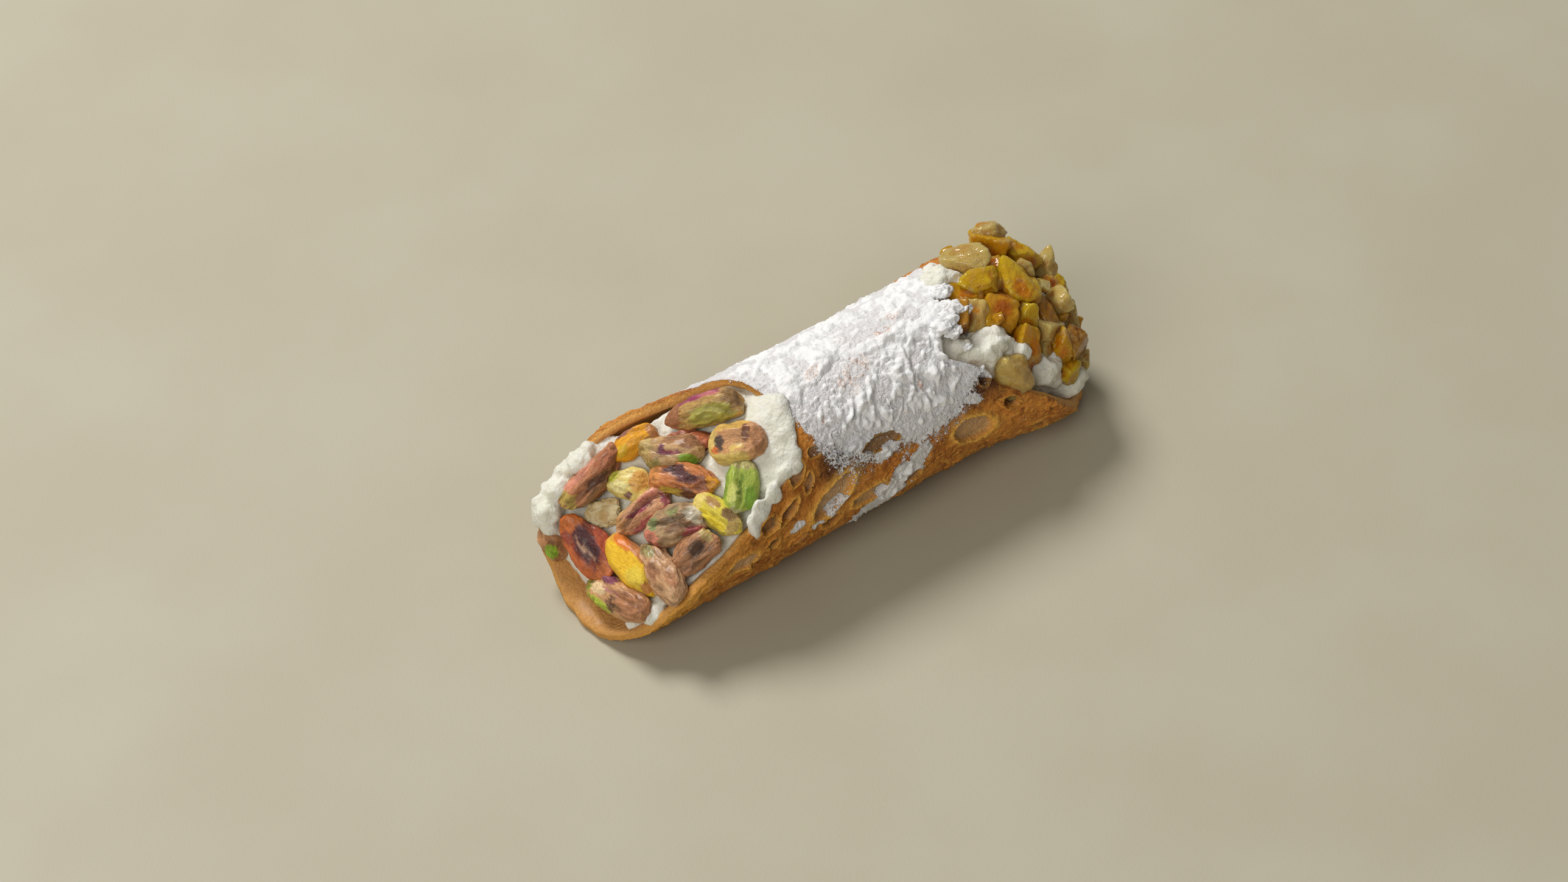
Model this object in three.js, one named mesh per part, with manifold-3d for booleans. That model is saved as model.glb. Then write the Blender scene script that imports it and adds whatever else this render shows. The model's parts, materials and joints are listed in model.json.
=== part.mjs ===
// A cannolo: a fried pastry tube, cut on the slant at both ends and filled with ricotta cream. Pistachio
// kernels cover the front opening, diced candied peel is heaped on the back one, and icing sugar lies on top.
// Millimetres. +X runs along the tube towards the candied peel, +Z is up, and the part rests on z = 0.
// Angles round the tube start at its top and grow towards -Y.
import * as THREE from "three";
import { ImprovedNoise } from "three/addons/math/ImprovedNoise.js";
import { mergeVertices } from "three/addons/utils/BufferGeometryUtils.js";
import Module from "manifold-3d";

// The tube
const TUBE_RADIUS = 20.9; // outside of the wall, between the flares
const AXIS_HEIGHT = 20.3; // a little under the radius, so the tube stands on a flat strip
const WALL = 2.6;
const FLOOR_WALL = 2.3; // the wall over the flat strip
const BACK_FLARE = 3.6; // the near side opens out towards the peel
const FAR_FLARE = 2.8; // the far side opens out along the front opening
const WAIST = 0.6; // the far side draws in under the sugar
const NEAR_BULGE = 1.1; // low on the near side
const CRUST_RELIEF = 0.4;
const SUGAR_DEPTH = 0.9;
const ROUND_STEPS = 42;
const OUTER_STEPS = 17;
const INNER_STEPS = 4;

// Where the wall ends, as [angle, x]: the front lip reaches far out below, the back one too.
const FRONT_RIM = [
  [-150, -61], [-120, -60], [-100, -57], [-82, -48.5], [-68, -41.5], [-58, -33], [-48, -22.5],
  [-38, -15], [-20, -12.5], [0, -11.5], [15, -10], [35, -12], [52, -14.5], [62, -19], [70, -23.5],
  [80, -31], [90, -37], [98, -44], [112, -51], [130, -57], [152, -61], [180, -62.5],
];
const BACK_RIM = [
  [-170, 71.5], [-140, 68], [-110, 62], [-80, 56], [-58, 52], [-39, 50.5], [-26, 46.5], [-12, 40.5],
  [5, 37], [22, 33], [36, 30.5], [48, 35], [58, 39], [70, 40.5], [82, 47], [96, 54], [112, 59.5],
  [128, 64.5], [146, 71],
];

// How far the cream stays behind the wall's edge (below 0 it stands proud of it), and where it laps over.
const FRONT_RECESS = [
  [-150, 5], [-120, 0.5], [-95, -1.5], [-70, -1.5], [-48, 0.5], [-25, 1], [0, 0], [25, -1.6],
  [50, -1.6], [72, -0.4], [100, 0.8], [130, 2], [155, 5], [180, 6.5],
];
const FRONT_LAP = [
  [-150, 0], [-118, 0], [-98, 1], [-75, 0.8], [-55, 0], [-10, 0], [12, 0.9], [30, 1], [52, 1], [68, 0],
];
const BACK_RECESS = [[-150, 1], [-60, 1], [-30, 1.5], [0, 0], [40, -1], [70, -1], [110, 0], [150, 1]];
const LAP_REACH = 1.8;
const LAP_THICKNESS = 1.1;
const FRONT_CROWN = 2.6; // how far the middle of the cream stands out from the rim's own surface
const BACK_CROWN = 6;
const CREAM_RINGS = 4;
const GAP = 0.3; // left between pieces that touch

// The mound of cream that carries the candied peel, along, across and out of the slanted back opening
const HEAP = { centre: [57, 1.5, 1.5], size: [21, 16, 12], facing: [1, -0.6, 1.14] };
// Spoonfuls of cream round the heap: [x, y, height over the axis, radius]
const DOLLOPS = [[44, 4, 17, 4.4], [43.6, -12.6, 12, 4.6], [55, -16.6, 1, 4.4], [63, -15.6, -8, 4.8]];

// Pistachio kernels: [y and height of one end, y and height of the other, width, thickness, lift, shade].
// The heights are over the tube's axis, and the lift is how far along the tube the middle of the kernel
// stands out of the cream. The kernels on top come first.
const KERNELS = {
  magenta: [11.7, 12.8, 1.2, 19.3, 7.8, 6.6, 5.2, 0x9c8a50],
  spotted: [-1.2, 13.1, -9.2, 17.1, 8.6, 6.4, 3.6, 0xb89a5c],
  plum: [4.7, 6.8, -8.3, 9.2, 7.2, 6.4, 3.8, 0xa5714a],
  mottled: [11.3, 8.1, 0.7, 11.8, 7.7, 6.6, 3.6, 0xa08560],
  grey: [-4.2, 0.4, -11.5, 5.7, 7.6, 6.8, 5.2, 0x9b8468],
  green: [-9.2, 13.3, -15.8, 6.7, 7.8, 5.6, 3.4, 0x7d9440],
  lime: [-7.2, 6.9, -18.8, 5.6, 6.6, 5.8, 4.4, 0xb5ab3a],
  gold: [3.3, -4, -12.9, -5.8, 8.1, 6.8, 3.8, 0xe0ac20],
  ember: [14, -3.3, -0.6, -9.4, 9.2, 6.4, 3.2, 0x7a3c2a],
  streaked: [2, -13, -15.8, -8.4, 7, 6, 3.8, 0xa08058],
  tan: [-5.2, -1.9, -20.4, -3.4, 6.8, 5.6, 5, 0x9c7f62],
  wrinkled: [-14.8, -1, -16.2, 4, 7.2, 6, 4.6, 0x8f6f52],
  crimson: [2.8, -1.7, -0.3, 5.2, 6.2, 5.6, 3.6, 0xa7786a],
  cream_green: [11.8, 3.6, 4.4, 4.9, 6.9, 5.8, 3.2, 0xb6a860],
  russet: [14.8, 0.1, 14.4, 8.1, 6.8, 6, 3.8, 0x9c6a48],
  amber: [14.6, 7.2, 12.7, 11, 6.2, 5.2, 3, 0xe09c18],
  tucked: [8.6, 9.4, 1.1, 12.6, 5, 4, 1.6, 0x8c5a3c],
  edge: [17.6, -7.6, 12.8, -13, 5, 4.6, 0.4, 0x8a9438],
};
// One flat curl of pastry that has dropped on the cream
const FLAKE = [11.1, -2.5, 6.1, -0.1, 6.2, 2, 2, 0xe2cf9c];

// Diced candied peel: [x, y, height over the axis, width, height, kind]
const PALE = 0xc9bd86;
const AMBER = 0xd08a1c;
const YELLOW = 0xcaa21c;
const BROWN = 0x9a5a1c;
const PEEL = [
  [60.4, 9.6, 20.4, 6.6, 4.6, PALE], [59.7, 7.7, 17.3, 7.4, 6.6, AMBER], [51, 5.8, 19.4, 8.2, 6.9, PALE],
  [49.4, -1.4, 19.8, 7, 5.2, YELLOW], [55, 0.8, 17, 6.4, 7, AMBER],
  [66.2, 5, 13.3, 7.8, 6, YELLOW], [62.4, -1, 16.4, 4, 3.2, PALE], [71.4, 2.4, 8.3, 4.8, 4.8, PALE],
  [58.2, -4.6, 14.4, 8.6, 9, YELLOW], [64.8, -4.6, 12, 2.4, 3.6, PALE], [68.8, -2.2, 8.4, 4, 3.4, AMBER],
  [67.8, -7, 7.2, 4.8, 6.6, PALE], [61.4, -9, 8.6, 5.6, 6, BROWN], [45.4, -1.8, 17, 6.6, 5.4, AMBER],
  [49.4, -7.4, 14.8, 7.2, 8, AMBER], [55.3, -9.9, 11.2, 5.6, 5.4, YELLOW], [43.9, -7.6, 15.8, 4.4, 6.6, PALE],
  [38.8, -6, 17.2, 5.2, 5.8, BROWN], [60, -12.8, 6.6, 6.6, 4.6, PALE],
  [51.8, -14.8, 6.8, 6.6, 9.4, AMBER], [45.4, -18.2, 5.8, 7.4, 7.8, PALE], [57.4, -15, 4.4, 3.2, 4, PALE],
  [62.2, -15.2, 3.2, 5.6, 6.2, AMBER], [67, -14.6, 0.6, 5, 7.2, BROWN], [62.4, -17.4, -3.4, 5.8, 6.4, YELLOW],
  [68.2, -15.6, -6, 3.8, 4.8, PALE],
  [71.6, 8.4, 3.6, 6.6, 6.2, AMBER], [66.6, 12.4, 8, 6.2, 5.8, YELLOW], [73.8, 2.2, -1.4, 6, 6.8, YELLOW],
  [71.8, -5.2, -0.6, 5.6, 5.4, PALE], [71.4, 11.6, -3.4, 5.6, 6, PALE], [73.6, -3.6, -7.2, 6.2, 5.4, AMBER],
];
const PEEL_LIE = new THREE.Vector3(0.82, -0.57, 0); // the widths are measured along this

const wasm = await Module();
wasm.setup();
const noise = new ImprovedNoise();
const { seededRandom, degToRad, radToDeg, smoothstep } = THREE.MathUtils;

// ---------------------------------------------------------------- outlines

// The value at an angle on a smooth closed curve through [angle, value] stops.
function around(stops, angle) {
  const stop = (i) => {
    const lap = Math.floor(i / stops.length);
    const [a, v] = stops[i - lap * stops.length];
    return [a + 360 * lap, v];
  };
  const first = stops[0][0];
  const at = THREE.MathUtils.euclideanModulo(angle - first, 360) + first;
  let i = 0;
  while (stop(i + 1)[0] <= at) i++;
  const [[a0, v0], [a1, v1], [a2, v2], [a3, v3]] = [-1, 0, 1, 2].map((k) => stop(i + k));
  const s = (at - a1) / (a2 - a1);
  const rise1 = ((v2 - v0) / (a2 - a0)) * (a2 - a1);
  const rise2 = ((v3 - v1) / (a3 - a1)) * (a2 - a1);
  const blend = s * s * (3 - 2 * s);
  return v1 + (v2 - v1) * blend + rise1 * s * (1 - s) * (1 - s) - rise2 * s * s * (1 - s);
}

// A smooth skin over an opening: it equals edge(angle) on the circle and has no hump of its own inside.
function skinOver(edge) {
  const ORDERS = 5;
  const SAMPLES = 180;
  const cosines = new Array(ORDERS + 1).fill(0);
  const sines = new Array(ORDERS + 1).fill(0);
  for (let i = 0; i < SAMPLES; i++) {
    const angle = (2 * Math.PI * i) / SAMPLES;
    const x = edge(radToDeg(angle));
    for (let n = 0; n <= ORDERS; n++) {
      const weight = (n ? 2 : 1) / SAMPLES;
      cosines[n] += weight * x * Math.cos(n * angle);
      sines[n] += weight * x * Math.sin(n * angle);
    }
  }
  return (share, angle) => {
    const a = degToRad(angle);
    const wave = (c, n) => (c * Math.cos(n * a) + sines[n] * Math.sin(n * a)) * share ** n;
    return cosines.reduce((sum, c, n) => sum + wave(c, n), 0);
  };
}

const frontRim = (angle) => around(FRONT_RIM, angle);
const backRim = (angle) => around(BACK_RIM, angle);
const frontSkin = skinOver((angle) => frontRim(angle) + around(FRONT_RECESS, angle));
const backSkin = skinOver((angle) => backRim(angle) - around(BACK_RECESS, angle));

// A bell that is 1 at the middle and fades over the given width.
const bell = (value, middle, width) => Math.exp(-(((value - middle) / width) ** 2));
const signedAngle = (angle) => THREE.MathUtils.euclideanModulo(angle + 180, 360) - 180;

// How thickly the icing sugar lies at a place on the tube, from 0 to 1.
function sugarCover(x, angle) {
  const ragged = 5 * noise.noise(x / 7, angle / 18, 2.5);
  const along = smoothstep(x + ragged, -17, -8) * (1 - smoothstep(x - ragged, 38, 47));
  const down = 1 - smoothstep(angle + 3 * ragged, 52, 74);
  const behind = smoothstep(angle - 3 * ragged, -62, -44);
  return along * down * behind;
}

// The outside of the crust: flares, blisters and the bed of sugar.
function crustRadius(x, angleIn) {
  const angle = signedAngle(angleIn);
  const back = BACK_FLARE * smoothstep(x, 32, 60) * bell(angle, 95, 62);
  const near = NEAR_BULGE * bell(angle, 122, 32);
  const waist = WAIST * bell(x, 20, 24) * bell(angle, -45, 45);
  const far = FAR_FLARE * bell(x, -38, 16) * bell(angle, -72, 34);
  const a = degToRad(angle);
  const grain = noise.noise(x / 6.5, 3.2 * Math.sin(a), 3.2 * Math.cos(a));
  const blisters = noise.noise(x / 3.4 + 40, 6 * Math.sin(a), 6 * Math.cos(a));
  const standing = 1 - bell(Math.abs(angle), 180, 30);
  const sugar = sugarCover(x, angle);
  const clumps = 0.75 + 0.5 * noise.noise(x / 2.6, angle / 7, 9);
  const relief = CRUST_RELIEF * (grain + Math.max(0, 2 * blisters)) * standing * (1 - sugar);
  return TUBE_RADIUS + back + far + near - waist + relief + SUGAR_DEPTH * sugar * clumps;
}

function tubePoint(x, radius, angle, floor) {
  const a = degToRad(angle);
  return new THREE.Vector3(x, -radius * Math.sin(a), Math.max(floor, AXIS_HEIGHT + radius * Math.cos(a)));
}

// ---------------------------------------------------------------- solids

// A closed skin over rings of points. A ring of one point is a pole, and without poles the last ring joins
// the first. The faces are turned round if they come out pointing in.
function skin(rings) {
  const points = [];
  const starts = rings.map((ring) => points.push(...ring) - ring.length);
  const faces = [];
  const count = Math.max(...rings.map((ring) => ring.length));
  const pairs = rings[0].length === 1 ? rings.length - 1 : rings.length;
  for (let r = 0; r < pairs; r++) {
    const next = (r + 1) % rings.length;
    const index = (ring, i) => starts[ring] + (rings[ring].length === 1 ? 0 : i % count);
    for (let i = 0; i < count; i++) {
      const [a, b, c, d] = [index(r, i), index(r, i + 1), index(next, i + 1), index(next, i)];
      if (a !== b) faces.push(a, b, c);
      if (c !== d) faces.push(a, c, d);
    }
  }
  const volume = faces.reduce((sum, _, i) => {
    if (i % 3) return sum;
    const [p, q, s] = [0, 1, 2].map((k) => points[faces[i + k]]);
    return sum + p.dot(new THREE.Vector3().crossVectors(q, s));
  }, 0);
  if (volume < 0) faces.reverse();
  const geometry = new THREE.BufferGeometry().setFromPoints(points);
  geometry.setIndex(faces);
  return geometry;
}

function solidOf(geometry) {
  const bare = geometry.clone();
  bare.deleteAttribute("normal");
  bare.deleteAttribute("uv");
  const merged = mergeVertices(bare, 1e-4);
  const vertProperties = new Float32Array(merged.getAttribute("position").array);
  const triVerts = new Uint32Array(merged.getIndex().array);
  return new wasm.Manifold(new wasm.Mesh({ numProp: 3, vertProperties, triVerts }));
}

// The largest body of a solid, as a geometry. Scraps that a cut leaves loose are dropped.
function geometryOf(solid) {
  const bodies = solid.decompose().sort((a, b) => b.volume() - a.volume());
  const mesh = bodies[0].getMesh();
  const geometry = new THREE.BufferGeometry();
  geometry.setAttribute("position", new THREE.BufferAttribute(mesh.vertProperties, mesh.numProp));
  geometry.setIndex(new THREE.BufferAttribute(mesh.triVerts, 1));
  return geometry;
}

// The wall of the tube, grown by the given amount on every side.
function tubeWall(grow) {
  const rings = [];
  for (let i = 0; i < ROUND_STEPS; i++) {
    const angle = (360 * i) / ROUND_STEPS;
    const start = frontRim(angle) - grow;
    const end = backRim(angle) + grow;
    const ring = [];
    const outside = (x, drop) => {
      const radius = crustRadius(x, angle) + grow - drop;
      ring.push(tubePoint(x, radius, angle, -grow));
    };
    const inside = (x, rise) => {
      const sugar = SUGAR_DEPTH * sugarCover(x, signedAngle(angle));
      const radius = Math.min(crustRadius(x, angle) - 0.7 * sugar, TUBE_RADIUS + BACK_FLARE) - WALL - grow;
      ring.push(tubePoint(x, radius + rise, angle, FLOOR_WALL + grow));
    };
    outside(start, 1);
    for (let k = 0; k <= OUTER_STEPS; k++) {
      outside(start + 0.7 + ((end - start - 1.4) * k) / OUTER_STEPS, 0);
    }
    outside(end, 1);
    inside(end, 0.5);
    for (let k = 0; k <= INNER_STEPS; k++) {
      inside(end - 0.7 - ((end - start - 1.4) * k) / INNER_STEPS, 0);
    }
    inside(start, 0.5);
    rings.push(ring);
  }
  return skin(rings);
}

// The cream's front and back surfaces, at a share of the tube's radius.
function frontX(share, angle) {
  const crown = FRONT_CROWN * Math.max(0, 1 - share * share) ** 0.7;
  return frontSkin(share, angle) - crown;
}

function backX(share, angle) {
  const crown = BACK_CROWN * Math.max(0, 1 - share * share) ** 0.7;
  return backSkin(share, angle) + crown;
}

// The cream before anything is pressed into it: it fills the tube to the middle of the wall, which is then
// cut out of it, and laps over the rim where it has squeezed out.
function creamFill() {
  const middle = TUBE_RADIUS - WALL / 2;
  const poles = [[tubePoint(frontX(0, 0), 0, 0, 0)], [tubePoint(backX(0, 0), 0, 0, 0)]];
  const ring = (place) => {
    const points = [];
    for (let i = 0; i < ROUND_STEPS; i++) points.push(place((360 * i) / ROUND_STEPS));
    return points;
  };
  const lumps = (x, angle) => 0.5 * noise.noise(x / 4, angle / 20, 5);
  const edge = (angle) => {
    const lap = smoothstep(around(FRONT_LAP, angle), 0.05, 0.9);
    const over = crustRadius(frontRim(angle), angle) + LAP_THICKNESS + lumps(3, angle) - middle;
    return middle + lap * over;
  };
  const floor = FLOOR_WALL / 2;
  const rings = [poles[0]];
  for (let k = 1; k <= CREAM_RINGS; k++) {
    const share = k / CREAM_RINGS;
    const fade = 1 - share ** 4;
    rings.push(ring((angle) => {
      const x = frontX(share, angle) + lumps(8 * share, angle) * fade;
      return tubePoint(x, share * edge(angle), angle, floor);
    }));
  }
  const lapEnd = (angle) => Math.max(frontX(1, angle), frontRim(angle)) + LAP_REACH + lumps(7, angle);
  rings.push(ring((angle) => tubePoint(lapEnd(angle), edge(angle), angle, floor)));
  rings.push(ring((angle) => tubePoint(lapEnd(angle) + 0.3, middle, angle, floor)));
  for (let k = CREAM_RINGS; k >= 1; k--) {
    const share = k / CREAM_RINGS;
    rings.push(ring((angle) => {
      const x = backX(share, angle) + 2 * lumps(30 + 6 * share, angle);
      return tubePoint(x, share * middle, angle, floor);
    }));
  }
  rings.push(poles[1]);
  return skin(rings);
}

// An axis frame at a place: along, across and out.
function basisFrom(along, out) {
  const z = out.clone().normalize();
  const y = new THREE.Vector3().crossVectors(z, along).normalize();
  const x = new THREE.Vector3().crossVectors(y, z);
  return new THREE.Matrix4().makeBasis(x, y, z);
}

function heapMound() {
  const out = new THREE.Vector3(...HEAP.facing);
  const along = new THREE.Vector3(HEAP.facing[2], 0, -HEAP.facing[0]);
  const mound = new THREE.SphereGeometry(1, 14, 8);
  mound.scale(...HEAP.size);
  mound.applyMatrix4(basisFrom(along, out));
  const [x, y, up] = HEAP.centre;
  return mound.translate(x, y, AXIS_HEIGHT + up);
}

function dollop([x, y, up, radius], seed) {
  const lump = new THREE.IcosahedronGeometry(1, 1);
  const place = lump.getAttribute("position");
  const spot = new THREE.Vector3();
  for (let i = 0; i < place.count; i++) {
    spot.fromBufferAttribute(place, i);
    spot.multiplyScalar(radius * (0.95 + 0.5 * noise.noise(1.6 * spot.x + seed, 1.6 * spot.y, 1.6 * spot.z)));
    place.setXYZ(i, 1.2 * spot.x, spot.y, spot.z);
  }
  return lump.translate(x, y, AXIS_HEIGHT + up);
}

// Brings a shape of half-width 1 to its size. A room is larger by the gap, and by a share where it is plainer.
function sized(shape, size, share) {
  const room = share > 1 ? 2 * GAP : 0;
  return shape.scale(...size.map((length) => (share * length + room) / 2));
}

// A kernel is an egg with full ends, one of them blunter, a flatter belly and a shallow crease.
function kernelShape(length, width, thickness, seed, asRoom) {
  const kernel = asRoom ? new THREE.SphereGeometry(1, 8, 6) : new THREE.SphereGeometry(1, 10, 8);
  kernel.rotateZ(-Math.PI / 2);
  const place = kernel.getAttribute("position");
  for (let i = 0; i < place.count; i++) {
    const [x, y, z] = [place.getX(i), place.getY(i), place.getZ(i)];
    const full = (1.001 - Math.abs(x) ** 3) ** 0.45 / Math.max(0.05, Math.hypot(y, z));
    const blunt = full * (1 - 0.13 * x - 0.06 * x * x);
    const wrinkle = 1 + 0.12 * noise.noise(2 * x + seed, 2 * y, 2 * z);
    const crease = z > 0 ? 0.1 * bell(y, 0.1, 0.3) * (1 - x * x) : 0;
    const high = z < 0 ? 0.85 * z : z - crease;
    place.setXYZ(i, x * wrinkle, y * blunt * wrinkle, high * blunt * wrinkle);
  }
  return sized(kernel, [length, width, thickness], asRoom ? 1.11 : 1);
}

function onFront(y, up) {
  const share = Math.hypot(y, up) / (TUBE_RADIUS - WALL / 2);
  const x = frontX(share, radToDeg(Math.atan2(-y, up)));
  return new THREE.Vector3(x, y, AXIS_HEIGHT + up);
}

// A piece that lies along the front cream between two places, lifted along the tube.
function lieOnFront([y1, up1, y2, up2, width, thickness, lift], shape, seed, asRoom) {
  const [a, b] = [onFront(y1, up1), onFront(y2, up2)];
  const middle = onFront((y1 + y2) / 2, (up1 + up2) / 2);
  const step = 1;
  const across = onFront((y1 + y2) / 2 + step, (up1 + up2) / 2).sub(middle);
  const down = onFront((y1 + y2) / 2, (up1 + up2) / 2 - step).sub(middle);
  const out = new THREE.Vector3().crossVectors(across, down).normalize();
  if (out.x > 0) out.negate();
  const piece = shape(a.distanceTo(b), width, thickness, seed, asRoom);
  piece.applyMatrix4(basisFrom(new THREE.Vector3().subVectors(b, a), out));
  const centre = a.add(b).multiplyScalar(0.5).lerp(middle, 0.5);
  return piece.translate(centre.x - lift, centre.y, centre.z);
}

// A scrap of pastry: a thin wavy flake.
function flakeShape(length, width, thickness, seed, asRoom) {
  const flake = new THREE.IcosahedronGeometry(1, 1);
  const place = flake.getAttribute("position");
  for (let i = 0; i < place.count; i++) {
    const [x, y, z] = [place.getX(i), place.getY(i), place.getZ(i)];
    const ragged = 1 + 0.35 * noise.noise(1.7 * x + seed, 1.7 * y, 1.7 * z);
    place.setXYZ(i, x * ragged, y * ragged, z + 0.4 * x * y);
  }
  return sized(flake, [length, width, thickness], asRoom ? 1.03 : 1);
}

// A dice of peel: a block with worn corners and uneven sides.
function diceShape(width, height, depth, seed, asRoom) {
  const dice = new THREE.BoxGeometry(2, 2, 2, 2, 2, 2);
  const place = dice.getAttribute("position");
  const corner = new THREE.Vector3();
  for (let i = 0; i < place.count; i++) {
    corner.fromBufferAttribute(place, i);
    corner.multiplyScalar(0.55 + 0.45 / corner.length());
    const uneven = 1 + 0.45 * noise.noise(1.3 * corner.x + seed, 1.3 * corner.y, 1.3 * corner.z + 7);
    corner.multiplyScalar(uneven);
    place.setXYZ(i, corner.x, corner.y, corner.z);
  }
  return sized(dice, [width, height, depth], asRoom ? 1.03 : 1);
}

function peelDice([x, y, up, width, height], seed, asRoom) {
  seededRandom(seed);
  const depth = 0.8 * Math.min(width, height) + 0.6;
  const out = new THREE.Vector3(x - HEAP.centre[0] + 5, y - HEAP.centre[1], up - HEAP.centre[2]);
  const dice = diceShape(1.12 * width, 1.12 * height, depth, seed, asRoom);
  dice.rotateZ(degToRad(30 * (seededRandom() - 0.5)));
  dice.rotateX(degToRad(24 * (seededRandom() - 0.5)));
  dice.applyMatrix4(basisFrom(PEEL_LIE, out));
  return dice.translate(x, y, AXIS_HEIGHT + up);
}

// ---------------------------------------------------------------- the part

const group = new THREE.Group();

function addNode(name, geometry, color, roughness) {
  const material = new THREE.MeshStandardMaterial({ color, roughness, metalness: 0 });
  const mesh = new THREE.Mesh(geometry, material);
  mesh.name = name;
  group.add(mesh);
}

// Toppings are laid from the outermost in, and each makes room for the ones before it. The room is a
// plainer and slightly larger copy.
const rooms = [];
function lay(name, geometry, room, color, roughness) {
  let solid = solidOf(geometry);
  for (const earlier of rooms) solid = solid.subtract(earlier);
  rooms.push(solidOf(room));
  addNode(name, geometryOf(solid.subtract(wallRoom)), color, roughness);
}

const FLAKE_SEED = 3;
const wallRoom = solidOf(tubeWall(GAP));
addNode("shell", tubeWall(0), 0xb87a3c, 0.7);
Object.entries(KERNELS).forEach(([name, kernel], i) => {
  const [whole, room] = [false, true].map((asRoom) => lieOnFront(kernel, kernelShape, i + 1, asRoom));
  lay("pistachio_" + name, whole, room, kernel.at(-1), 0.5);
});
const [flake, flakeRoom] = [false, true].map((asRoom) => lieOnFront(FLAKE, flakeShape, FLAKE_SEED, asRoom));
lay("pastry_flake", flake, flakeRoom, FLAKE.at(-1), 0.7);
PEEL.forEach((dice, i) => {
  const name = "peel_" + String(i + 1).padStart(2, "0");
  lay(name, peelDice(dice, i + 1, false), peelDice(dice, i + 1, true), dice.at(-1), 0.3);
});

let cream = solidOf(creamFill()).add(solidOf(heapMound()));
DOLLOPS.forEach((lump, i) => {
  cream = cream.add(solidOf(dollop(lump, i + 1)));
});
cream = cream.subtract(wallRoom);
for (const room of rooms) cream = cream.subtract(room);
addNode("cream", geometryOf(cream), 0xf2eee2, 0.6);

export default group;
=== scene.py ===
"""A cannolo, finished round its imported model: blistered crust, ricotta cream, pistachio kernels, candied
peel and icing sugar. Laid out as a Blender add-on.

Lengths in the tables are millimetres unless a comment says otherwise. Angles are degrees round the tube
from its top and grow towards -Y, which is the near side. A height over the axis is named up. A turn is
measured in the surface, from along the tube, and a colour is red, green and blue of 0 to 255. The seeds of
the noise are whole numbers that only have to differ."""
import json
import math

import bpy
import numpy as np
from mathutils import Matrix, Vector


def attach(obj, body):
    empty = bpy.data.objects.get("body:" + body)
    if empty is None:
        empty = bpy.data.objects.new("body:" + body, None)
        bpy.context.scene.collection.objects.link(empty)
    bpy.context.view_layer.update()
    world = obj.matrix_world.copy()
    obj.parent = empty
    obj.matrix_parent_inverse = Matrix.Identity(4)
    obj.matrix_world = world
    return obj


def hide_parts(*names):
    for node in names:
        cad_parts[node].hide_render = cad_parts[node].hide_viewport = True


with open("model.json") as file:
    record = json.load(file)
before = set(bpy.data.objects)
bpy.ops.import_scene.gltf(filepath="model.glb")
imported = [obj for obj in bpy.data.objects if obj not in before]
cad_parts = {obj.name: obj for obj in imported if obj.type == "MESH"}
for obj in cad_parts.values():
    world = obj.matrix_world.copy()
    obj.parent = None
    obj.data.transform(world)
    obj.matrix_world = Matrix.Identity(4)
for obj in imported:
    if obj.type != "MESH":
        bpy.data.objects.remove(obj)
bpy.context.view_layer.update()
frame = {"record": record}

bl_info = {
    "name": "Cannolo",
    "version": (1, 0, 0),
    "blender": (4, 5, 0),
    "location": "3D Viewport > Sidebar > Cannolo",
    "description": "Builds the crust, cream, pistachios, peel and icing sugar of a filled pastry tube",
    "category": "Object",
}

MM = 0.001
BODY = "root"
SLOTS = {part["node"]: part["material_slot"] for part in frame["record"]["subparts"]}

# ------------------------------------------------------------------ the tube, as the model has it
TUBE_RADIUS = 20.9
AXIS_HEIGHT = 20.3
WALL = 2.6
FLOOR_WALL = 2.3
BACK_FLARE = 3.6
FAR_FLARE = 2.8
WAIST = 0.6
NEAR_BULGE = 1.1
FRONT_CROWN = 2.6
BACK_CROWN = 6
ARC = math.pi / 180 * TUBE_RADIUS  # millimetres round the tube for one degree
NO_FLOOR = -99

FRONT_RIM = [
    (-150, -61), (-120, -60), (-100, -57), (-82, -48.5), (-68, -41.5), (-58, -33), (-48, -22.5),
    (-38, -15), (-20, -12.5), (0, -11.5), (15, -10), (35, -12), (52, -14.5), (62, -19), (70, -23.5),
    (80, -31), (90, -37), (98, -44), (112, -51), (130, -57), (152, -61), (180, -62.5),
]
BACK_RIM = [
    (-170, 71.5), (-140, 68), (-110, 62), (-80, 56), (-58, 52), (-39, 50.5), (-26, 46.5), (-12, 40.5),
    (5, 37), (22, 33), (36, 30.5), (48, 35), (58, 39), (70, 40.5), (82, 47), (96, 54), (112, 59.5),
    (128, 64.5), (146, 71),
]
FRONT_RECESS = [
    (-150, 5), (-120, 0.5), (-95, -1.5), (-70, -1.5), (-48, 0.5), (-25, 1), (0, 0), (25, -1.6),
    (50, -1.6), (72, -0.4), (100, 0.8), (130, 2), (155, 5), (180, 6.5),
]
FRONT_LAP = [
    (-150, 0), (-118, 0), (-98, 1), (-75, 0.8), (-55, 0), (-10, 0), (12, 0.9), (30, 1), (52, 1), (68, 0),
]
BACK_RECESS = [(-150, 1), (-60, 1), (-30, 1.5), (0, 0), (40, -1), (70, -1), (110, 0), (150, 1)]
LAP_REACH = 1.8
LAP_THICKNESS = 1.1

# ------------------------------------------------------------------ the crust
CRUST_AROUND = 360  # points round the tube
CRUST_ALONG = 214  # along the outside
CRUST_LIP = 7  # across the edge of the dough
CRUST_INSIDE = 28  # along the inside
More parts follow.
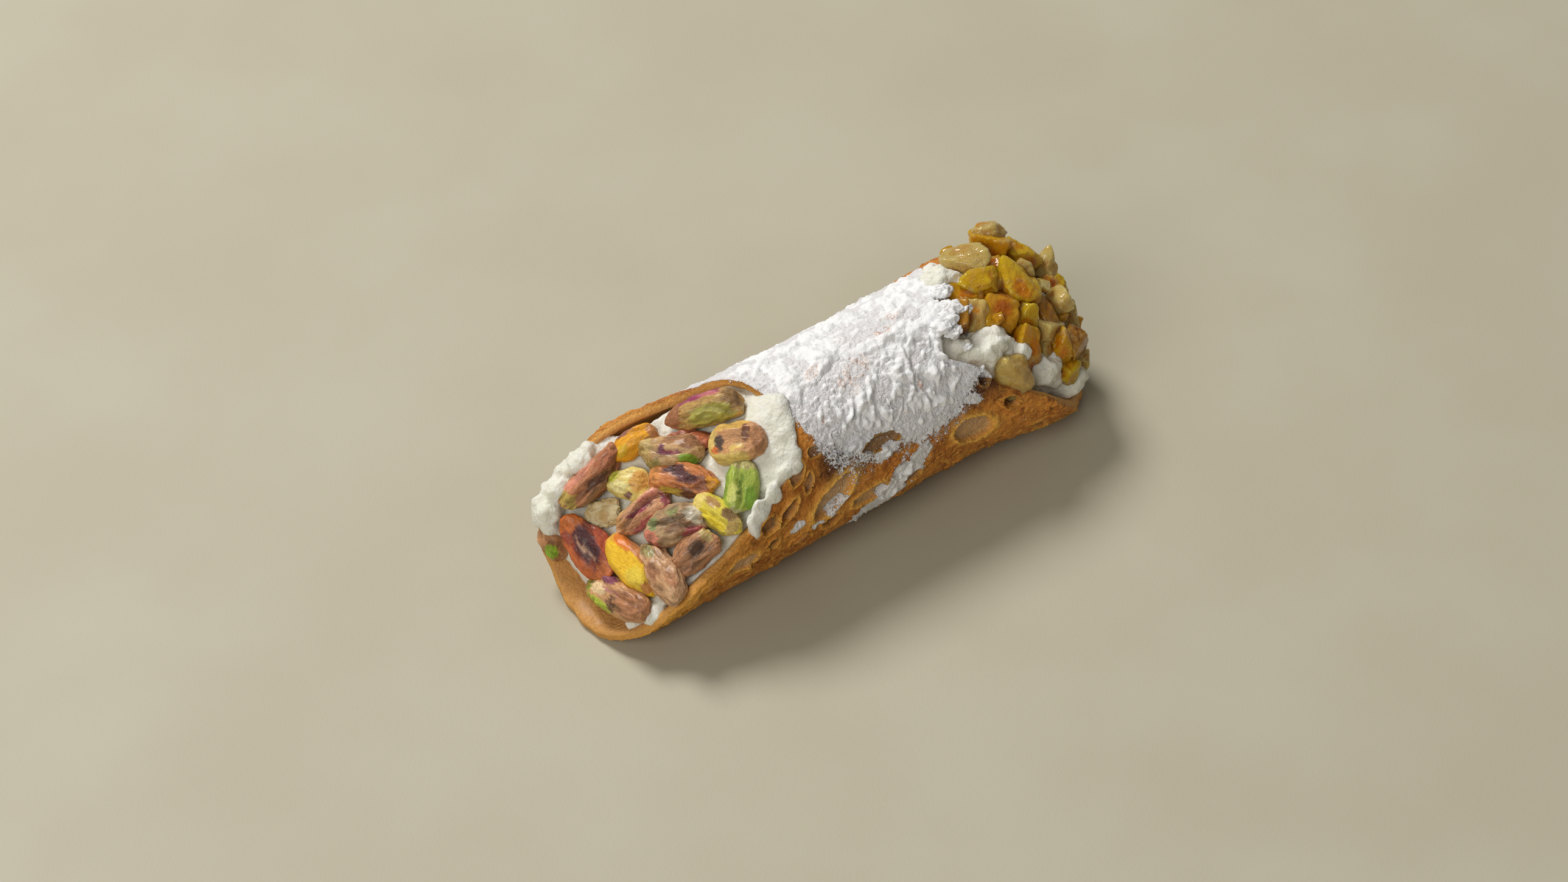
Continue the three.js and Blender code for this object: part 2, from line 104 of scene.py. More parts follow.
# Bubbles that burst or stayed shut in the fat: x, angle, length, width, turn, height of the torn lip, depth
# (below 0 it is a closed bubble that stands up) and how pale the inside is.
BUBBLES = [
    (-7, 84, 12.8, 5.8, 29, 0.55, 1.2, 1), (-19, 77, 6.8, 2.6, 34, 0.6, 1.2, 0.7),
    (-24.4, 79, 4.4, 3.8, 20, 0.6, 0.6, 0.3), (-23.7, 94, 3.2, 2.2, 10, 0.5, 0.7, 0.3),
    (-14.3, 57, 5.4, 3.2, 50, 0.45, 0.5, 0.5), (-12.3, 66, 4.4, 2.0, 62, 0.45, 0.35, 0.5),
    (8, 66, 10, 3.4, -4, 0.15, 1.1, 0.45), (2.7, 98, 9.4, 3.8, 5, 0.45, 0.6, 0.8),
    (32, 91, 11, 6.4, -20, 0.5, 0.9, 0.9), (37.1, 62, 2.8, 3, 0, 0.35, 1.5, 0.1),
    (42.3, 84, 4, 3, -30, 0.45, 1.7, 0.1), (50, 112, 5.4, 2.4, -30, 0.55, 0.8, 0.4),
    (59.4, 125, 7, 2.2, 0, 0.45, 0.8, 0.5), (-32.3, 97, 7.8, 3.4, 8, 0.35, 0.5, 0.8),
    (-28, 100, 5, 2.2, 10, 0.4, -0.5, 0.4), (-41, 104, 6, 2.6, 15, 0.3, -0.5, 0.4),
    (-24, -34, 13, 2.6, 18, 0.35, -0.7, 0.4), (-33, -46, 8, 2.4, 30, 0.4, 0.5, 0.5),
    (-13, -14, 9, 2.4, 8, 0.35, -0.7, 0.3), (-16, 104, 6, 3, 12, 0.4, -0.6, 0.5),
    (15, 104, 5, 3, 30, 0.4, 0.6, 0.4), (22, 84, 5, 2.6, 10, 0.3, -0.5, 0.3),
    (45, 100, 6, 3, -20, 0.35, -0.6, 0.3), (54, 98, 4.4, 2.2, 10, 0.4, -0.5, 0.3),
]
STRAY_BUBBLES = 120
STRAY_SEED = 11
RIM_MARGIN = 3  # no stray bubble has its middle nearer to a rim
TOASTED = 0.75  # how far the dough browned round the sugar and along the back rim
BURIED = 0.6  # how much of the crust's relief is lost under thick sugar

# ------------------------------------------------------------------ the icing sugar
# Where the bed of sugar ends on the near side, and where the dusting beyond it ends: x, angle
SUGAR_NEAR = [
    (-20, -10), (-10, 14), (-7.4, 28), (-3.8, 41), (0.6, 51), (4.4, 60), (12.8, 66), (17.3, 73), (22, 68),
    (28.2, 67), (31, 61), (35, 50), (41, 26), (46, 0), (60, -20),
]
DUST_NEAR = [
    (-20, 0), (-11, 34), (-7, 58), (-5.5, 74), (-1, 83), (3, 80), (13, 80), (23, 87), (26.5, 81),
    (30.8, 79), (33, 72), (38, 62), (44, 40), (50, 10),
]
# Where it ends along the tube: angle, x
SUGAR_FRONT = [
    (-70, -22), (-44, -17.5), (-25, -14.6), (-8, -11.8), (8, -9.8), (20, -8.4), (40, -5.4), (60, -4),
    (90, -4),
]
SUGAR_BACK = [
    (-70, 38), (-46, 41), (-34, 42.5), (-24, 43.6), (-14, 43), (-6, 40.6), (5, 38.4), (22, 34.6),
    (36, 31.6), (50, 35), (90, 35),
]
SUGAR_FAR = -58
SUGAR_DEPTH = 0.9
# Places where the crust shows through the sugar: x, angle, length, width, turn, how much of it is gone
SUGAR_BARE = [
    (8, 65.5, 10, 3.6, -4, 1), (9.5, 19, 13, 6, 12, 0.62), (13.8, -4, 6, 3, 0, 0.45),
    (21.5, 1, 7, 4.6, 10, 0.66), (26, -3, 6, 3, -20, 0.55), (1, 7, 5, 3.4, 20, 0.6),
    (8.2, 28, 7, 3, 30, 0.5), (4.5, 18, 1.8, 1, 0, 1), (23.5, 33, 3.6, 1, 10, 1),
    (22.6, 46, 4, 2.6, 60, 0.72), (2.4, 34, 2, 0.8, 10, 1), (17, 46, 3, 2.2, 60, 0.5),
    (-12.2, -17, 8, 1.7, 10, 1), (-9.6, -2, 6, 1.3, 6, 1), (2, 15, 3, 0.8, 30, 1),
    (27.5, 22, 3, 0.9, -30, 1), (15, 58, 4, 2.4, 50, 0.5), (28, 52, 4, 2, 40, 0.6),
    (-3, 36, 3.6, 1.2, 50, 0.7), (48, -33, 8, 5, 0, 1), (40, -50, 5, 3, 0, 1),
]
# Powder that fell lower down the near side and on the far edge: x, angle, length, width, turn, how thick
SUGAR_PATCHES = [
    (9, 106, 23, 6.4, 38, 0.6), (8.3, 73.5, 5.4, 3.2, 22, 1), (-6, 92, 6, 2, 20, 0.4),
    (-12, 98, 3, 1.6, 0, 0.5), (38, 58, 7, 3, -20, 0.45), (-16, -36, 8, 4, 20, 0.7),
    (33, 70, 5, 2.4, -30, 0.5), (-17, 92, 3, 1.8, 20, 0.7),
]
# Soft ridges in the thick bed on top: x, angle, length, width, turn, height
SUGAR_RIDGES = [
    (4, 4, 15, 4.4, 24, 0.9), (2, -24, 16, 5, 12, 1), (13, -27, 15, 5, 8, 0.9), (17, 9, 14, 4, 4, 0.8),
    (25, 12, 11, 4.6, -14, 0.7), (-5, 8, 9, 6, 62, 0.8), (-7, -22, 10, 6, 24, 0.8),
    (30, -10, 11, 6, 34, 0.9), (35, -25, 10, 6, 6, 0.9), (-1, -42, 14, 6, 6, 0.6), (21, -42, 16, 6, 2, 0.5),
    (9, 34, 9, 4, 40, 0.5), (20, 32, 10, 4, 52, 0.5), (31, 30, 9, 4, 60, 0.5),
]
# Lumps that rolled over the back rim: x, y, z, radius
SUGAR_SPILLS = [
    (38.8, -5.1, 41, 2.4), (37, -4, 40.9, 2.1), (41, -6.4, 40.6, 1.7), (33.6, -8, 40.6, 2.4),
    (35.6, -7.4, 40.9, 2.2), (35, -10, 39.6, 1.8), (36.4, -13.6, 36.8, 1), (39.8, 0.4, 41.4, 2.1),
]
SUGAR_STEP = 0.29  # distance between the points of the bed
SUGAR_X = (-24, 51)  # where the bed's points start and end, along the tube and round it
SUGAR_ANGLES = (-66, 132)
SUGAR_ROOT = 0.7  # how deep the bed's underside lies in the crust
SUGAR_LOWEST = -0.12  # the bed is left out where its top is lower than this over the crust
SUGAR_SLOT = "icing_sugar"
GRAIN_SIZES = (0.00008, 0.0002)  # radii in metres
LUMP_SIZES = (0.00022, 0.00048)
LUMP_SHARE = 0.06  # loose lumps for each loose grain
FULL_TURNS = (6.28, 6.28, 6.28)  # the most that a grain is turned, in radians

# ------------------------------------------------------------------ the cream
HEAP_CENTRE = (57, 1.5, 1.5)
HEAP_SIZE = (21, 16, 12)
HEAP_FACING = (1, -0.6, 1.14)
# Spoonfuls round the heap: x, y, up, radius
DOLLOPS = [
    (42.6, 4.6, 17.6, 4.6), (43.6, -12.6, 12, 4.6), (55, -16.6, 1, 4.4), (63, -15.6, -8, 4.8),
    (45, 7.6, 15.6, 4.2),
]
CREAM_STEP = 0.56  # size of the cells that the lumps of cream are merged on
CREAM_LOWEST = 0.6
# Where the cream hangs over the front rim: x, angle, how far out, length, width and thickness
TONGUES = [
    (-14, 52, 21.2, 4.6, 4.2, 2.2), (-17, 53, 21.2, 4, 3, 1.8), (-28, 75, 20.9, 3, 7.4, 2.4),
    (-9.6, 14, 21.6, 4.6, 5, 2), (-12, 32, 21.2, 4, 4, 1.8), (-25.2, 68, 20.7, 5, 6.4, 2.6),
    (-21, 62, 20.8, 4.6, 5, 2.4), (-57.5, -100, 20.6, 5, 7, 5), (-54.2, -93, 20.8, 5, 7, 5),
    (-50.6, -86, 21.2, 5, 7, 4.6), (-47.2, -79, 21.4, 5, 6, 4.2), (-44.2, -73, 21.6, 4.4, 5, 3.8),
    (-58.6, -106, 20.2, 4, 5, 4),
]
# Curds that hide the rim beside the kernel that hangs over it: y, up, radius, how far they stand out
FRONT_CURDS = [
    (17.6, -3, 3.2, 0.7), (18.3, 1, 3, 0.7), (18.6, 5, 2.8, 0.6), (16.4, -6.2, 2.2, 0.5),
    (-15.6, -10.4, 2.8, -0.6), (-12.6, -14, 2.6, -0.6),
]
# Soft peaks of cream between the pieces of peel: x, angle, how far out, size
PEAKS = [
    (45, 64, 20.2, 3.4), (50, 60, 20.2, 3.2), (39, 46, 20.2, 3.2), (36.5, 36, 20.2, 2.4), (42, 56, 19.6, 3),
    (58, 100, 19.6, 3), (62, 108, 20, 2.6), (66, 120, 20.2, 2.8), (55, 88, 19, 2.6), (46, -10, 19.5, 4.6),
    (48, -40, 19, 4.4), (56, -66, 18.5, 4.8), (63, -96, 18, 4.8),
]

# ------------------------------------------------------------------ the toppings, as the model has them
# y and up of one end, y and up of the other, width, thickness, lift
KERNELS = {
    "magenta": (11.7, 12.8, 1.2, 19.3, 7.8, 6.6, 5.2), "spotted": (-1.2, 13.1, -9.2, 17.1, 8.6, 6.4, 3.6),
    "plum": (4.7, 6.8, -8.3, 9.2, 7.2, 6.4, 3.8), "mottled": (11.3, 8.1, 0.7, 11.8, 7.7, 6.6, 3.6),
    "grey": (-4.2, 0.4, -11.5, 5.7, 7.6, 6.8, 5.2), "green": (-9.2, 13.3, -15.8, 6.7, 7.8, 5.6, 3.4),
    "lime": (-7.2, 6.9, -18.8, 5.6, 6.6, 5.8, 4.4), "gold": (3.3, -4, -12.9, -5.8, 8.1, 6.8, 3.8),
    "ember": (14, -3.3, -0.6, -9.4, 9.2, 6.4, 3.2), "streaked": (2, -13, -15.8, -8.4, 7, 6, 3.8),
    "tan": (-5.2, -1.9, -20.4, -3.4, 6.8, 5.6, 5), "wrinkled": (-14.8, -1, -16.2, 4, 7.2, 6, 4.6),
    "crimson": (2.8, -1.7, -0.3, 5.2, 6.2, 5.6, 3.6), "cream_green": (11.8, 3.6, 4.4, 4.9, 6.9, 5.8, 3.2),
    "russet": (14.8, 0.1, 14.4, 8.1, 6.8, 6, 3.8), "amber": (14.6, 7.2, 12.7, 11, 6.2, 5.2, 3),
    "tucked": (8.6, 9.4, 1.1, 12.6, 5, 4, 1.6), "edge": (17.6, -7.6, 12.8, -13, 5, 4.6, 0.4),
}
# The skin of each kernel: base colour, then patches of [along, across, half length, half width, colour]
SKINS = {
    "magenta": [(160, 128, 74), (-0.15, 0.75, 0.75, 0.5, (118, 24, 78)),
                (-0.85, 0, 0.3, 0.9, (132, 84, 56)), (0.3, -0.6, 0.6, 0.45, (148, 146, 66)),
                (0.9, 0.3, 0.25, 0.8, (112, 84, 50)), (0.35, 0.5, 0.3, 0.2, (170, 96, 110))],
    "spotted": [(192, 142, 100), (-0.9, 0, 0.3, 0.9, (226, 198, 120)),
                (-0.2, 0.9, 0.7, 0.32, (216, 176, 92)), (-0.3, -0.9, 0.8, 0.34, (208, 184, 104)),
                (-0.5, 0, 0.2, 0.42, (44, 32, 32)), (-0.66, -0.35, 0.12, 0.2, (198, 104, 34)),
                (0.45, 0.35, 0.14, 0.45, (96, 50, 26)), (0.85, 0, 0.28, 0.8, (150, 104, 70)),
                (0.1, -0.35, 0.35, 0.14, (222, 190, 110))],
    "plum": [(182, 112, 62), (-0.25, 0.4, 0.34, 0.34, (62, 30, 44)), (0.15, 0.05, 0.3, 0.34, (78, 38, 48)),
             (0.95, 0, 0.16, 0.6, (232, 160, 24)), (0.1, -0.85, 0.8, 0.26, (84, 48, 30)),
             (-0.85, 0, 0.25, 0.7, (206, 138, 78)), (0.6, -0.1, 0.2, 0.5, (120, 66, 40)),
             (-0.3, -0.8, 0.3, 0.2, (176, 150, 50))],
    "mottled": [(176, 142, 102), (-0.75, 0, 0.35, 0.9, (172, 152, 102)),
                (-0.08, -0.1, 0.13, 0.34, (84, 30, 62)), (0.15, -0.3, 0.3, 0.12, (136, 62, 92)),
                (0.72, -0.75, 0.3, 0.35, (104, 146, 30)), (0.75, 0.35, 0.35, 0.5, (124, 84, 56)),
                (0.2, 0.5, 0.3, 0.3, (140, 100, 70)), (-0.5, -0.8, 0.4, 0.25, (120, 108, 60))],
    "grey": [(152, 126, 98), (-0.85, -0.4, 0.3, 0.5, (196, 120, 104)),
             (-0.65, 0.35, 0.2, 0.35, (106, 118, 78)), (0.1, 0.6, 0.25, 0.25, (126, 134, 84)),
             (0.75, 0.2, 0.25, 0.6, (200, 192, 180)), (0.6, -0.75, 0.4, 0.3, (146, 62, 72)),
             (0.15, -0.3, 0.4, 0.34, (118, 86, 60)), (-0.1, 0.2, 0.5, 0.12, (96, 74, 54))],
    "green": [(138, 156, 62), (0.3, -0.25, 0.35, 0.34, (178, 184, 104)),
              (0.45, 0.75, 0.5, 0.3, (100, 136, 36)), (-0.1, -0.85, 0.7, 0.25, (104, 132, 42)),
              (-0.85, 0.1, 0.25, 0.8, (152, 144, 98)), (0.0, 0.12, 0.5, 0.1, (84, 110, 30)),
              (0.95, 0, 0.12, 0.6, (150, 150, 112))],
    "lime": [(204, 190, 66), (-0.8, 0, 0.3, 0.8, (218, 198, 116)),
             (-0.25, 0.45, 0.34, 0.34, (150, 114, 70)), (0.6, 0.45, 0.34, 0.42, (96, 68, 48)),
             (0.1, -0.45, 0.8, 0.26, (214, 194, 40)), (0.9, -0.1, 0.2, 0.7, (172, 148, 92)),
             (0.1, -0.9, 0.8, 0.2, (130, 116, 44))],
    "gold": [(236, 190, 34), (-0.55, 0.6, 0.45, 0.38, (198, 106, 32)), (0.2, 0.9, 0.8, 0.3, (156, 94, 54)),
             (0.6, -0.2, 0.4, 0.6, (214, 188, 62)), (-0.95, 0, 0.12, 0.7, (206, 150, 60)),
             (0.95, 0.1, 0.14, 0.7, (170, 116, 66))],
    "ember": [(126, 52, 30), (-0.85, 0.3, 0.3, 0.8, (206, 112, 44)), (0.0, 0.15, 0.55, 0.5, (66, 24, 36)),
              (0.2, -0.05, 0.55, 0.07, (206, 160, 136)), (0.1, -0.75, 0.75, 0.32, (178, 90, 38)),
              (0.88, 0, 0.22, 0.8, (188, 106, 58)), (0.3, 0.8, 0.5, 0.24, (150, 66, 40))],
    "streaked": [(172, 130, 92), (-0.5, -0.75, 0.6, 0.34, (146, 166, 38)),
                 (-0.92, 0.2, 0.18, 0.7, (140, 158, 52)), (-0.5, 0.1, 0.34, 0.36, (220, 196, 160)),
                 (-0.3, 0.8, 0.34, 0.28, (98, 44, 78)), (0.62, 0, 0.48, 0.9, (150, 102, 72)),
                 (0.08, -0.4, 0.1, 0.5, (84, 52, 36)), (-0.1, 0.3, 0.3, 0.1, (150, 92, 100))],
    "tan": [(182, 142, 110), (-0.6, 0.2, 0.3, 0.3, (128, 124, 80)), (0.0, -0.2, 0.28, 0.36, (138, 94, 68)),
            (0.5, 0.4, 0.3, 0.3, (160, 112, 84)), (0.8, -0.2, 0.2, 0.5, (192, 156, 124)),
            (-0.9, 0, 0.16, 0.7, (110, 96, 60))],
    "wrinkled": [(152, 108, 78), (0.1, -0.1, 0.32, 0.36, (78, 54, 40)),
                 (0.75, 0.2, 0.25, 0.5, (166, 146, 92)), (-0.6, -0.3, 0.3, 0.4, (170, 124, 94)),
                 (0.2, 0.8, 0.6, 0.25, (120, 82, 56))],
    "crimson": [(190, 142, 112), (0.0, -0.05, 0.5, 0.2, (116, 30, 60)),
                (0.5, 0.35, 0.4, 0.34, (194, 122, 106)), (-0.1, 0.85, 0.8, 0.24, (194, 164, 110)),
                (-0.85, 0, 0.2, 0.8, (168, 126, 84)), (0.1, -0.85, 0.8, 0.2, (150, 76, 80)),
                (0.9, -0.3, 0.14, 0.5, (120, 50, 70))],
    "cream_green": [(210, 192, 116), (-0.7, 0.5, 0.34, 0.45, (204, 208, 84)),
                    (0.6, 0.2, 0.4, 0.7, (200, 150, 74)), (0.2, -0.72, 0.18, 0.24, (84, 48, 50)),
                    (-0.3, -0.2, 0.4, 0.4, (228, 218, 158))],
    "russet": [(164, 108, 76), (-0.2, 0.55, 0.6, 0.3, (200, 132, 114)),
               (-0.88, 0, 0.22, 0.7, (172, 150, 76)), (0.1, -0.45, 0.5, 0.2, (88, 54, 38)),
               (0.6, 0.1, 0.35, 0.5, (138, 82, 54)), (-0.3, -0.85, 0.6, 0.2, (124, 92, 62))],
    "amber": [(232, 164, 16), (0.6, -0.7, 0.5, 0.42, (134, 98, 52)), (-0.6, -0.2, 0.3, 0.4, (196, 160, 30)),
              (0.0, 0.9, 0.6, 0.22, (124, 80, 80)), (0.9, -0.1, 0.2, 0.6, (150, 100, 60))],
    "tucked": [(152, 84, 56), (0.3, 0.3, 0.5, 0.3, (180, 100, 60)), (-0.6, 0, 0.3, 0.6, (124, 72, 50))],
    "edge": [(142, 100, 66), (0.2, 0.1, 0.45, 0.5, (122, 160, 30)), (-0.6, 0, 0.3, 0.8, (180, 130, 90))],
}
# How each kernel departs from a plain one: how pointed its first end is (below 0 the second), how bent it
# is, how deep its crease or hollow is, how wide that is, where it lies across, and how wrinkled the skin is
FORMS = {
    "magenta": (0.34, 0.1, 0.1, 0.12, -0.55, 0.9), "spotted": (-0.05, 0.0, 0.22, 0.55, 0.1, 0.8),
    "plum": (-0.26, 0.05, 0.16, 0.4, 0.1, 1.2), "mottled": (0.05, -0.05, 0.14, 0.16, -0.1, 0.9),
    "grey": (0.05, 0.1, 0.14, 0.14, 0.2, 1.5), "green": (0.0, 0.3, 0.34, 0.13, 0.0, 0.4),
    "lime": (0.05, -0.1, 0.12, 0.1, -0.4, 0.4), "gold": (0.05, 0.06, 0.0, 0.2, 0.0, 0.2),
    "ember": (0.32, 0.0, 0.34, 0.55, 0.05, 0.8), "streaked": (0.1, 0.08, 0.16, 0.12, 0.35, 1.0),
    "tan": (0.18, 0.12, 0.08, 0.2, 0.4, 1.3), "wrinkled": (0.05, 0.15, 0.34, 0.32, -0.3, 1.3),
    "crimson": (0.1, 0.1, 0.3, 0.17, -0.05, 1.2), "cream_green": (0.34, 0.0, 0.06, 0.3, 0.3, 0.6),
    "russet": (0.12, -0.2, 0.3, 0.24, -0.45, 1.3), "amber": (0.1, 0.3, 0.2, 0.2, 0.5, 0.4),
    "tucked": (0.1, 0.0, 0.1, 0.2, 0.2, 1.4), "edge": (0.1, 0.0, 0.1, 0.2, 0.2, 0.9),
}
# The pale flake of pastry: y and up of one end, y and up of the other, width, thickness, lift
FLAKE = (11.1, -2.5, 6.1, -0.1, 6.2, 2, 2)
PALE = "pale"
AMBER = "amber"
YELLOW = "yellow"
BROWN = "brown"
# The dice of peel: x, y, up, width, height, kind
PEEL = [
    (60.4, 9.6, 20.4, 6.6, 4.6, PALE), (59.7, 7.7, 17.3, 7.4, 6.6, AMBER), (51, 5.8, 19.4, 8.2, 6.9, PALE),
    (49.4, -1.4, 19.8, 7, 5.2, YELLOW), (55, 0.8, 17, 6.4, 7, AMBER), (66.2, 5, 13.3, 7.8, 6, YELLOW),
    (62.4, -1, 16.4, 4, 3.2, PALE), (71.4, 2.4, 8.3, 4.8, 4.8, PALE), (58.2, -4.6, 14.4, 8.6, 9, YELLOW),
    (64.8, -4.6, 12, 2.4, 3.6, PALE), (68.8, -2.2, 8.4, 4, 3.4, AMBER), (67.8, -7, 7.2, 4.8, 6.6, PALE),
    (61.4, -9, 8.6, 5.6, 6, BROWN), (45.4, -1.8, 17, 6.6, 5.4, AMBER), (49.4, -7.4, 14.8, 7.2, 8, AMBER),
    (55.3, -9.9, 11.2, 5.6, 5.4, YELLOW), (43.9, -7.6, 15.8, 4.4, 6.6, PALE),
    (38.8, -6, 17.2, 5.2, 5.8, BROWN), (60, -12.8, 6.6, 6.6, 4.6, PALE),
    (51.8, -14.8, 6.8, 6.6, 9.4, AMBER), (45.4, -18.2, 5.8, 7.4, 7.8, PALE), (57.4, -15, 4.4, 3.2, 4, PALE),
    (62.2, -15.2, 3.2, 5.6, 6.2, AMBER), (67, -14.6, 0.6, 5, 7.2, BROWN),
    (62.4, -17.4, -3.4, 5.8, 6.4, YELLOW), (68.2, -15.6, -6, 3.8, 4.8, PALE),
    (71.6, 8.4, 3.6, 6.6, 6.2, AMBER), (66.6, 12.4, 8, 6.2, 5.8, YELLOW), (73.8, 2.2, -1.4, 6, 6.8, YELLOW),
    (71.8, -5.2, -0.6, 5.6, 5.4, PALE), (71.4, 11.6, -3.4, 5.6, 6, PALE),
    (73.6, -3.6, -7.2, 6.2, 5.4, AMBER),
]
# Crumbs of yellow peel: x, y, up, size
PEEL_CRUMBS = [
    (50.2, 10.4, 18.8, 3), (47.4, -10.8, 16.6, 2.6), (56.4, -8, 13.8, 2), (65.8, -10.6, 5.6, 2.2),
]
PEEL_LIE = (0.82, -0.57, 0)  # the direction of each width
# For each kind: the flesh, the rind side and the painted glow of light that shows through thin places
PEEL_COLOURS = {
    PALE: ((214, 184, 112), (218, 156, 44), (244, 222, 144)),
    AMBER: ((218, 144, 8), (202, 114, 4), (254, 200, 30)),
    YELLOW: ((214, 172, 8), (204, 138, 4), (254, 220, 44)),
    BROWN: ((180, 120, 30), (154, 86, 10), (230, 172, 56)),
}
# What the colours of the toppings are multiplied by: red, green, blue
KERNEL_GAIN = (1, 0.98, 0.86)
KERNEL_SHADE = (0.6, 0.5, 0.46)
PALE_GAIN = (1.26, 1.06, 0.74)
PEEL_GAIN = (1.3, 0.9, 0.25)
PEEL_SHADE = (0.9, 0.8, 0.42)
GLOW_GAIN = (1, 0.9, 0.6)
CRUMB_GAIN = (1.2, 0.9, 0.3)

# ------------------------------------------------------------------ the camera, the lamps and the floor
VIEW_AZIMUTH = -35
VIEW_ELEVATION = 46
VIEW_ROLL = 1.9
VIEW_DISTANCE = 980
VIEW_AIM = (0, 0, AXIS_HEIGHT)
AIM_PIXEL = (1318, 715)  # where the aim falls in the view
PICTURE = (2576, 1449)  # the view's width and height in pixels
SENSOR = 36
LENS = 100
CLIP = (0.05, 10)  # metres
FLOOR_REACH = 1500
# Each lamp: where it stands as seen from the tube, and its width and distance in metres, and its colour
LAMP_HEIGHT = 0.02
LAMPS = {
    "key": ((-0.02, 0.9, 1.1), 0.9, 2.4, (1, 0.98, 0.95)),
    "fill": ((-1, -0.45, 0.9), 1.6, 2.4, (1, 0.96, 0.9)),
}
SKY = (1, 0.95, 0.88, 1)


# ------------------------------------------------------------------ numbers and noise
def smooth(value, low, high):
    """0 below low, 1 above high and smooth between."""
    share = np.clip((value - low) / (high - low), 0, 1)
    return share * share * (3 - 2 * share)


def bell(value, middle, width):
    """1 at the middle, falling to nothing on both sides."""
    return np.exp(-(((value - middle) / width) ** 2))


def signed(angle):
    """The angle between -180 and 180."""
    return (np.asarray(angle, float) + 180) % 360 - 180


def scattered(cell, seed):
    """A repeatable number from 0 to 1 for each whole-numbered cell."""
    x, y, z = np.moveaxis(np.asarray(cell, np.int64), -1, 0)
    n = (x * 73856093) ^ (y * 19349663) ^ (z * 83492791) ^ (seed * 40503)
    n = ((n ^ (n >> 15)) * 668265263) & 0xFFFFFFFF
    n = ((n ^ (n >> 13)) * 374761393) & 0xFFFFFFFF
    return (n ^ (n >> 16)) / 0x100000000


def noise(points, seed=0):
    """Gradient noise, about -1 to 1, at points measured in noise cells."""
    base = np.floor(points).astype(np.int64)
    inside = points - base
    fade = inside**3 * (inside * (6 * inside - 15) + 10)
    total = 0.0
    for corner in np.ndindex(2, 2, 2):
        cell = base + corner
        slope = np.stack([scattered(cell, seed + 7919 * k) - 0.5 for k in (1, 2, 3)], -1)
        weight = np.where(corner, fade, 1 - fade).prod(-1)
        total = total + weight * (slope * (inside - corner)).sum(-1)
    return 2.4 * total


def layers(points, count, seed=0):
    """Noise with finer and weaker noise on it."""
    return sum(noise(points * 2**k + 17 * k, seed + k) / 2**k for k in range(count))


def cells(points, seed=0):
    """Distances to the nearest and the second nearest of spots strewn one to a cell."""
    base = np.floor(points).astype(np.int64)
    nearest = np.full(points.shape[:-1], 9.0)
    second = nearest.copy()
    for step in np.ndindex(3, 3, 3):
        cell = base + np.array(step) - 1
        spot = cell + np.stack([scattered(cell, seed + 31 * k) for k in (1, 2, 3)], -1)
        away = np.linalg.norm(spot - points, axis=-1)
        second = np.minimum(second, np.maximum(nearest, away))
        nearest = np.minimum(nearest, away)
    return nearest, second


def around(stops, angle):
    """The value at an angle on a smooth closed curve through (angle, value) stops."""
    at, value = np.array(stops, float).T
    at = np.concatenate([at[-2:] - 360, at, at[:3] + 360])
    value = np.concatenate([value[-2:], value, value[:3]])
    angle = (np.asarray(angle, float) - stops[0][0]) % 360 + stops[0][0]
    i = np.clip(np.searchsorted(at, angle, side="right") - 1, 1, len(at) - 3)
    a0, a1, a2, a3 = (at[i + k] for k in (-1, 0, 1, 2))
    v0, v1, v2, v3 = (value[i + k] for k in (-1, 0, 1, 2))
    s = (angle - a1) / (a2 - a1)
    rise1 = (v2 - v0) / (a2 - a0) * (a2 - a1)
    rise2 = (v3 - v1) / (a3 - a1) * (a2 - a1)
    blend = s * s * (3 - 2 * s)
    return v1 + (v2 - v1) * blend + rise1 * s * (1 - s) ** 2 - rise2 * s * s * (1 - s)


def front_rim(angle):
    return around(FRONT_RIM, angle)


def back_rim(angle):
    return around(BACK_RIM, angle)


def skin_over(edge, orders=5, samples=180):
    """A smooth skin over an opening: edge(angle) on the circle, with no hump of its own inside."""
    ring = 2 * np.pi * np.arange(samples) / samples
    x = edge(np.degrees(ring))
    waves = [((2 if n else 1) * np.mean(x * np.exp(1j * n * ring))) for n in range(orders + 1)]

    def skin(share, angle):
        turn = np.radians(angle)
        return sum((w * np.exp(-1j * n * turn)).real * share**n for n, w in enumerate(waves))

    return skin


front_skin = skin_over(lambda angle: front_rim(angle) + around(FRONT_RECESS, angle))
back_skin = skin_over(lambda angle: back_rim(angle) - around(BACK_RECESS, angle))


def front_x(share, angle):
    return front_skin(share, angle) - FRONT_CROWN * np.maximum(0, 1 - share * share) ** 0.7


def back_x(share, angle):
    return back_skin(share, angle) + BACK_CROWN * np.maximum(0, 1 - share * share) ** 0.7


def tube_radius(x, angle):
    """The crust's outside without its bubbles."""
    angle = signed(angle)
    back = BACK_FLARE * smooth(x, 32, 60) * bell(angle, 95, 62)
    near = NEAR_BULGE * bell(angle, 122, 32)
    waist = WAIST * bell(x, 20, 24) * bell(angle, -45, 45)
    far = FAR_FLARE * bell(x, -38, 16) * bell(angle, -72, 34)
    return TUBE_RADIUS + back + near + far - waist


def tube_point(x, radius, angle, floor=0.0):
    """Places round the tube's axis, none lower than the floor."""
    turn = np.radians(angle)
    up = np.maximum(floor, AXIS_HEIGHT + radius * np.cos(turn))
    return np.stack(np.broadcast_arrays(x, -radius * np.sin(turn), up), -1)


def oval(x, angle, at_x, at_angle, length, width, turn, rag=0.0):
    """How far a place on the tube is from an oval's middle: 1 on its outline."""
    along = x - at_x
    across = -signed(angle - at_angle) * ARC
    c, s = math.cos(math.radians(turn)), math.sin(math.radians(turn))
    long_share = (along * c + across * s) / (length / 2)
    wide_share = (across * c - along * s) / (width / 2)
    return np.hypot(long_share, wide_share) * (1 + rag)


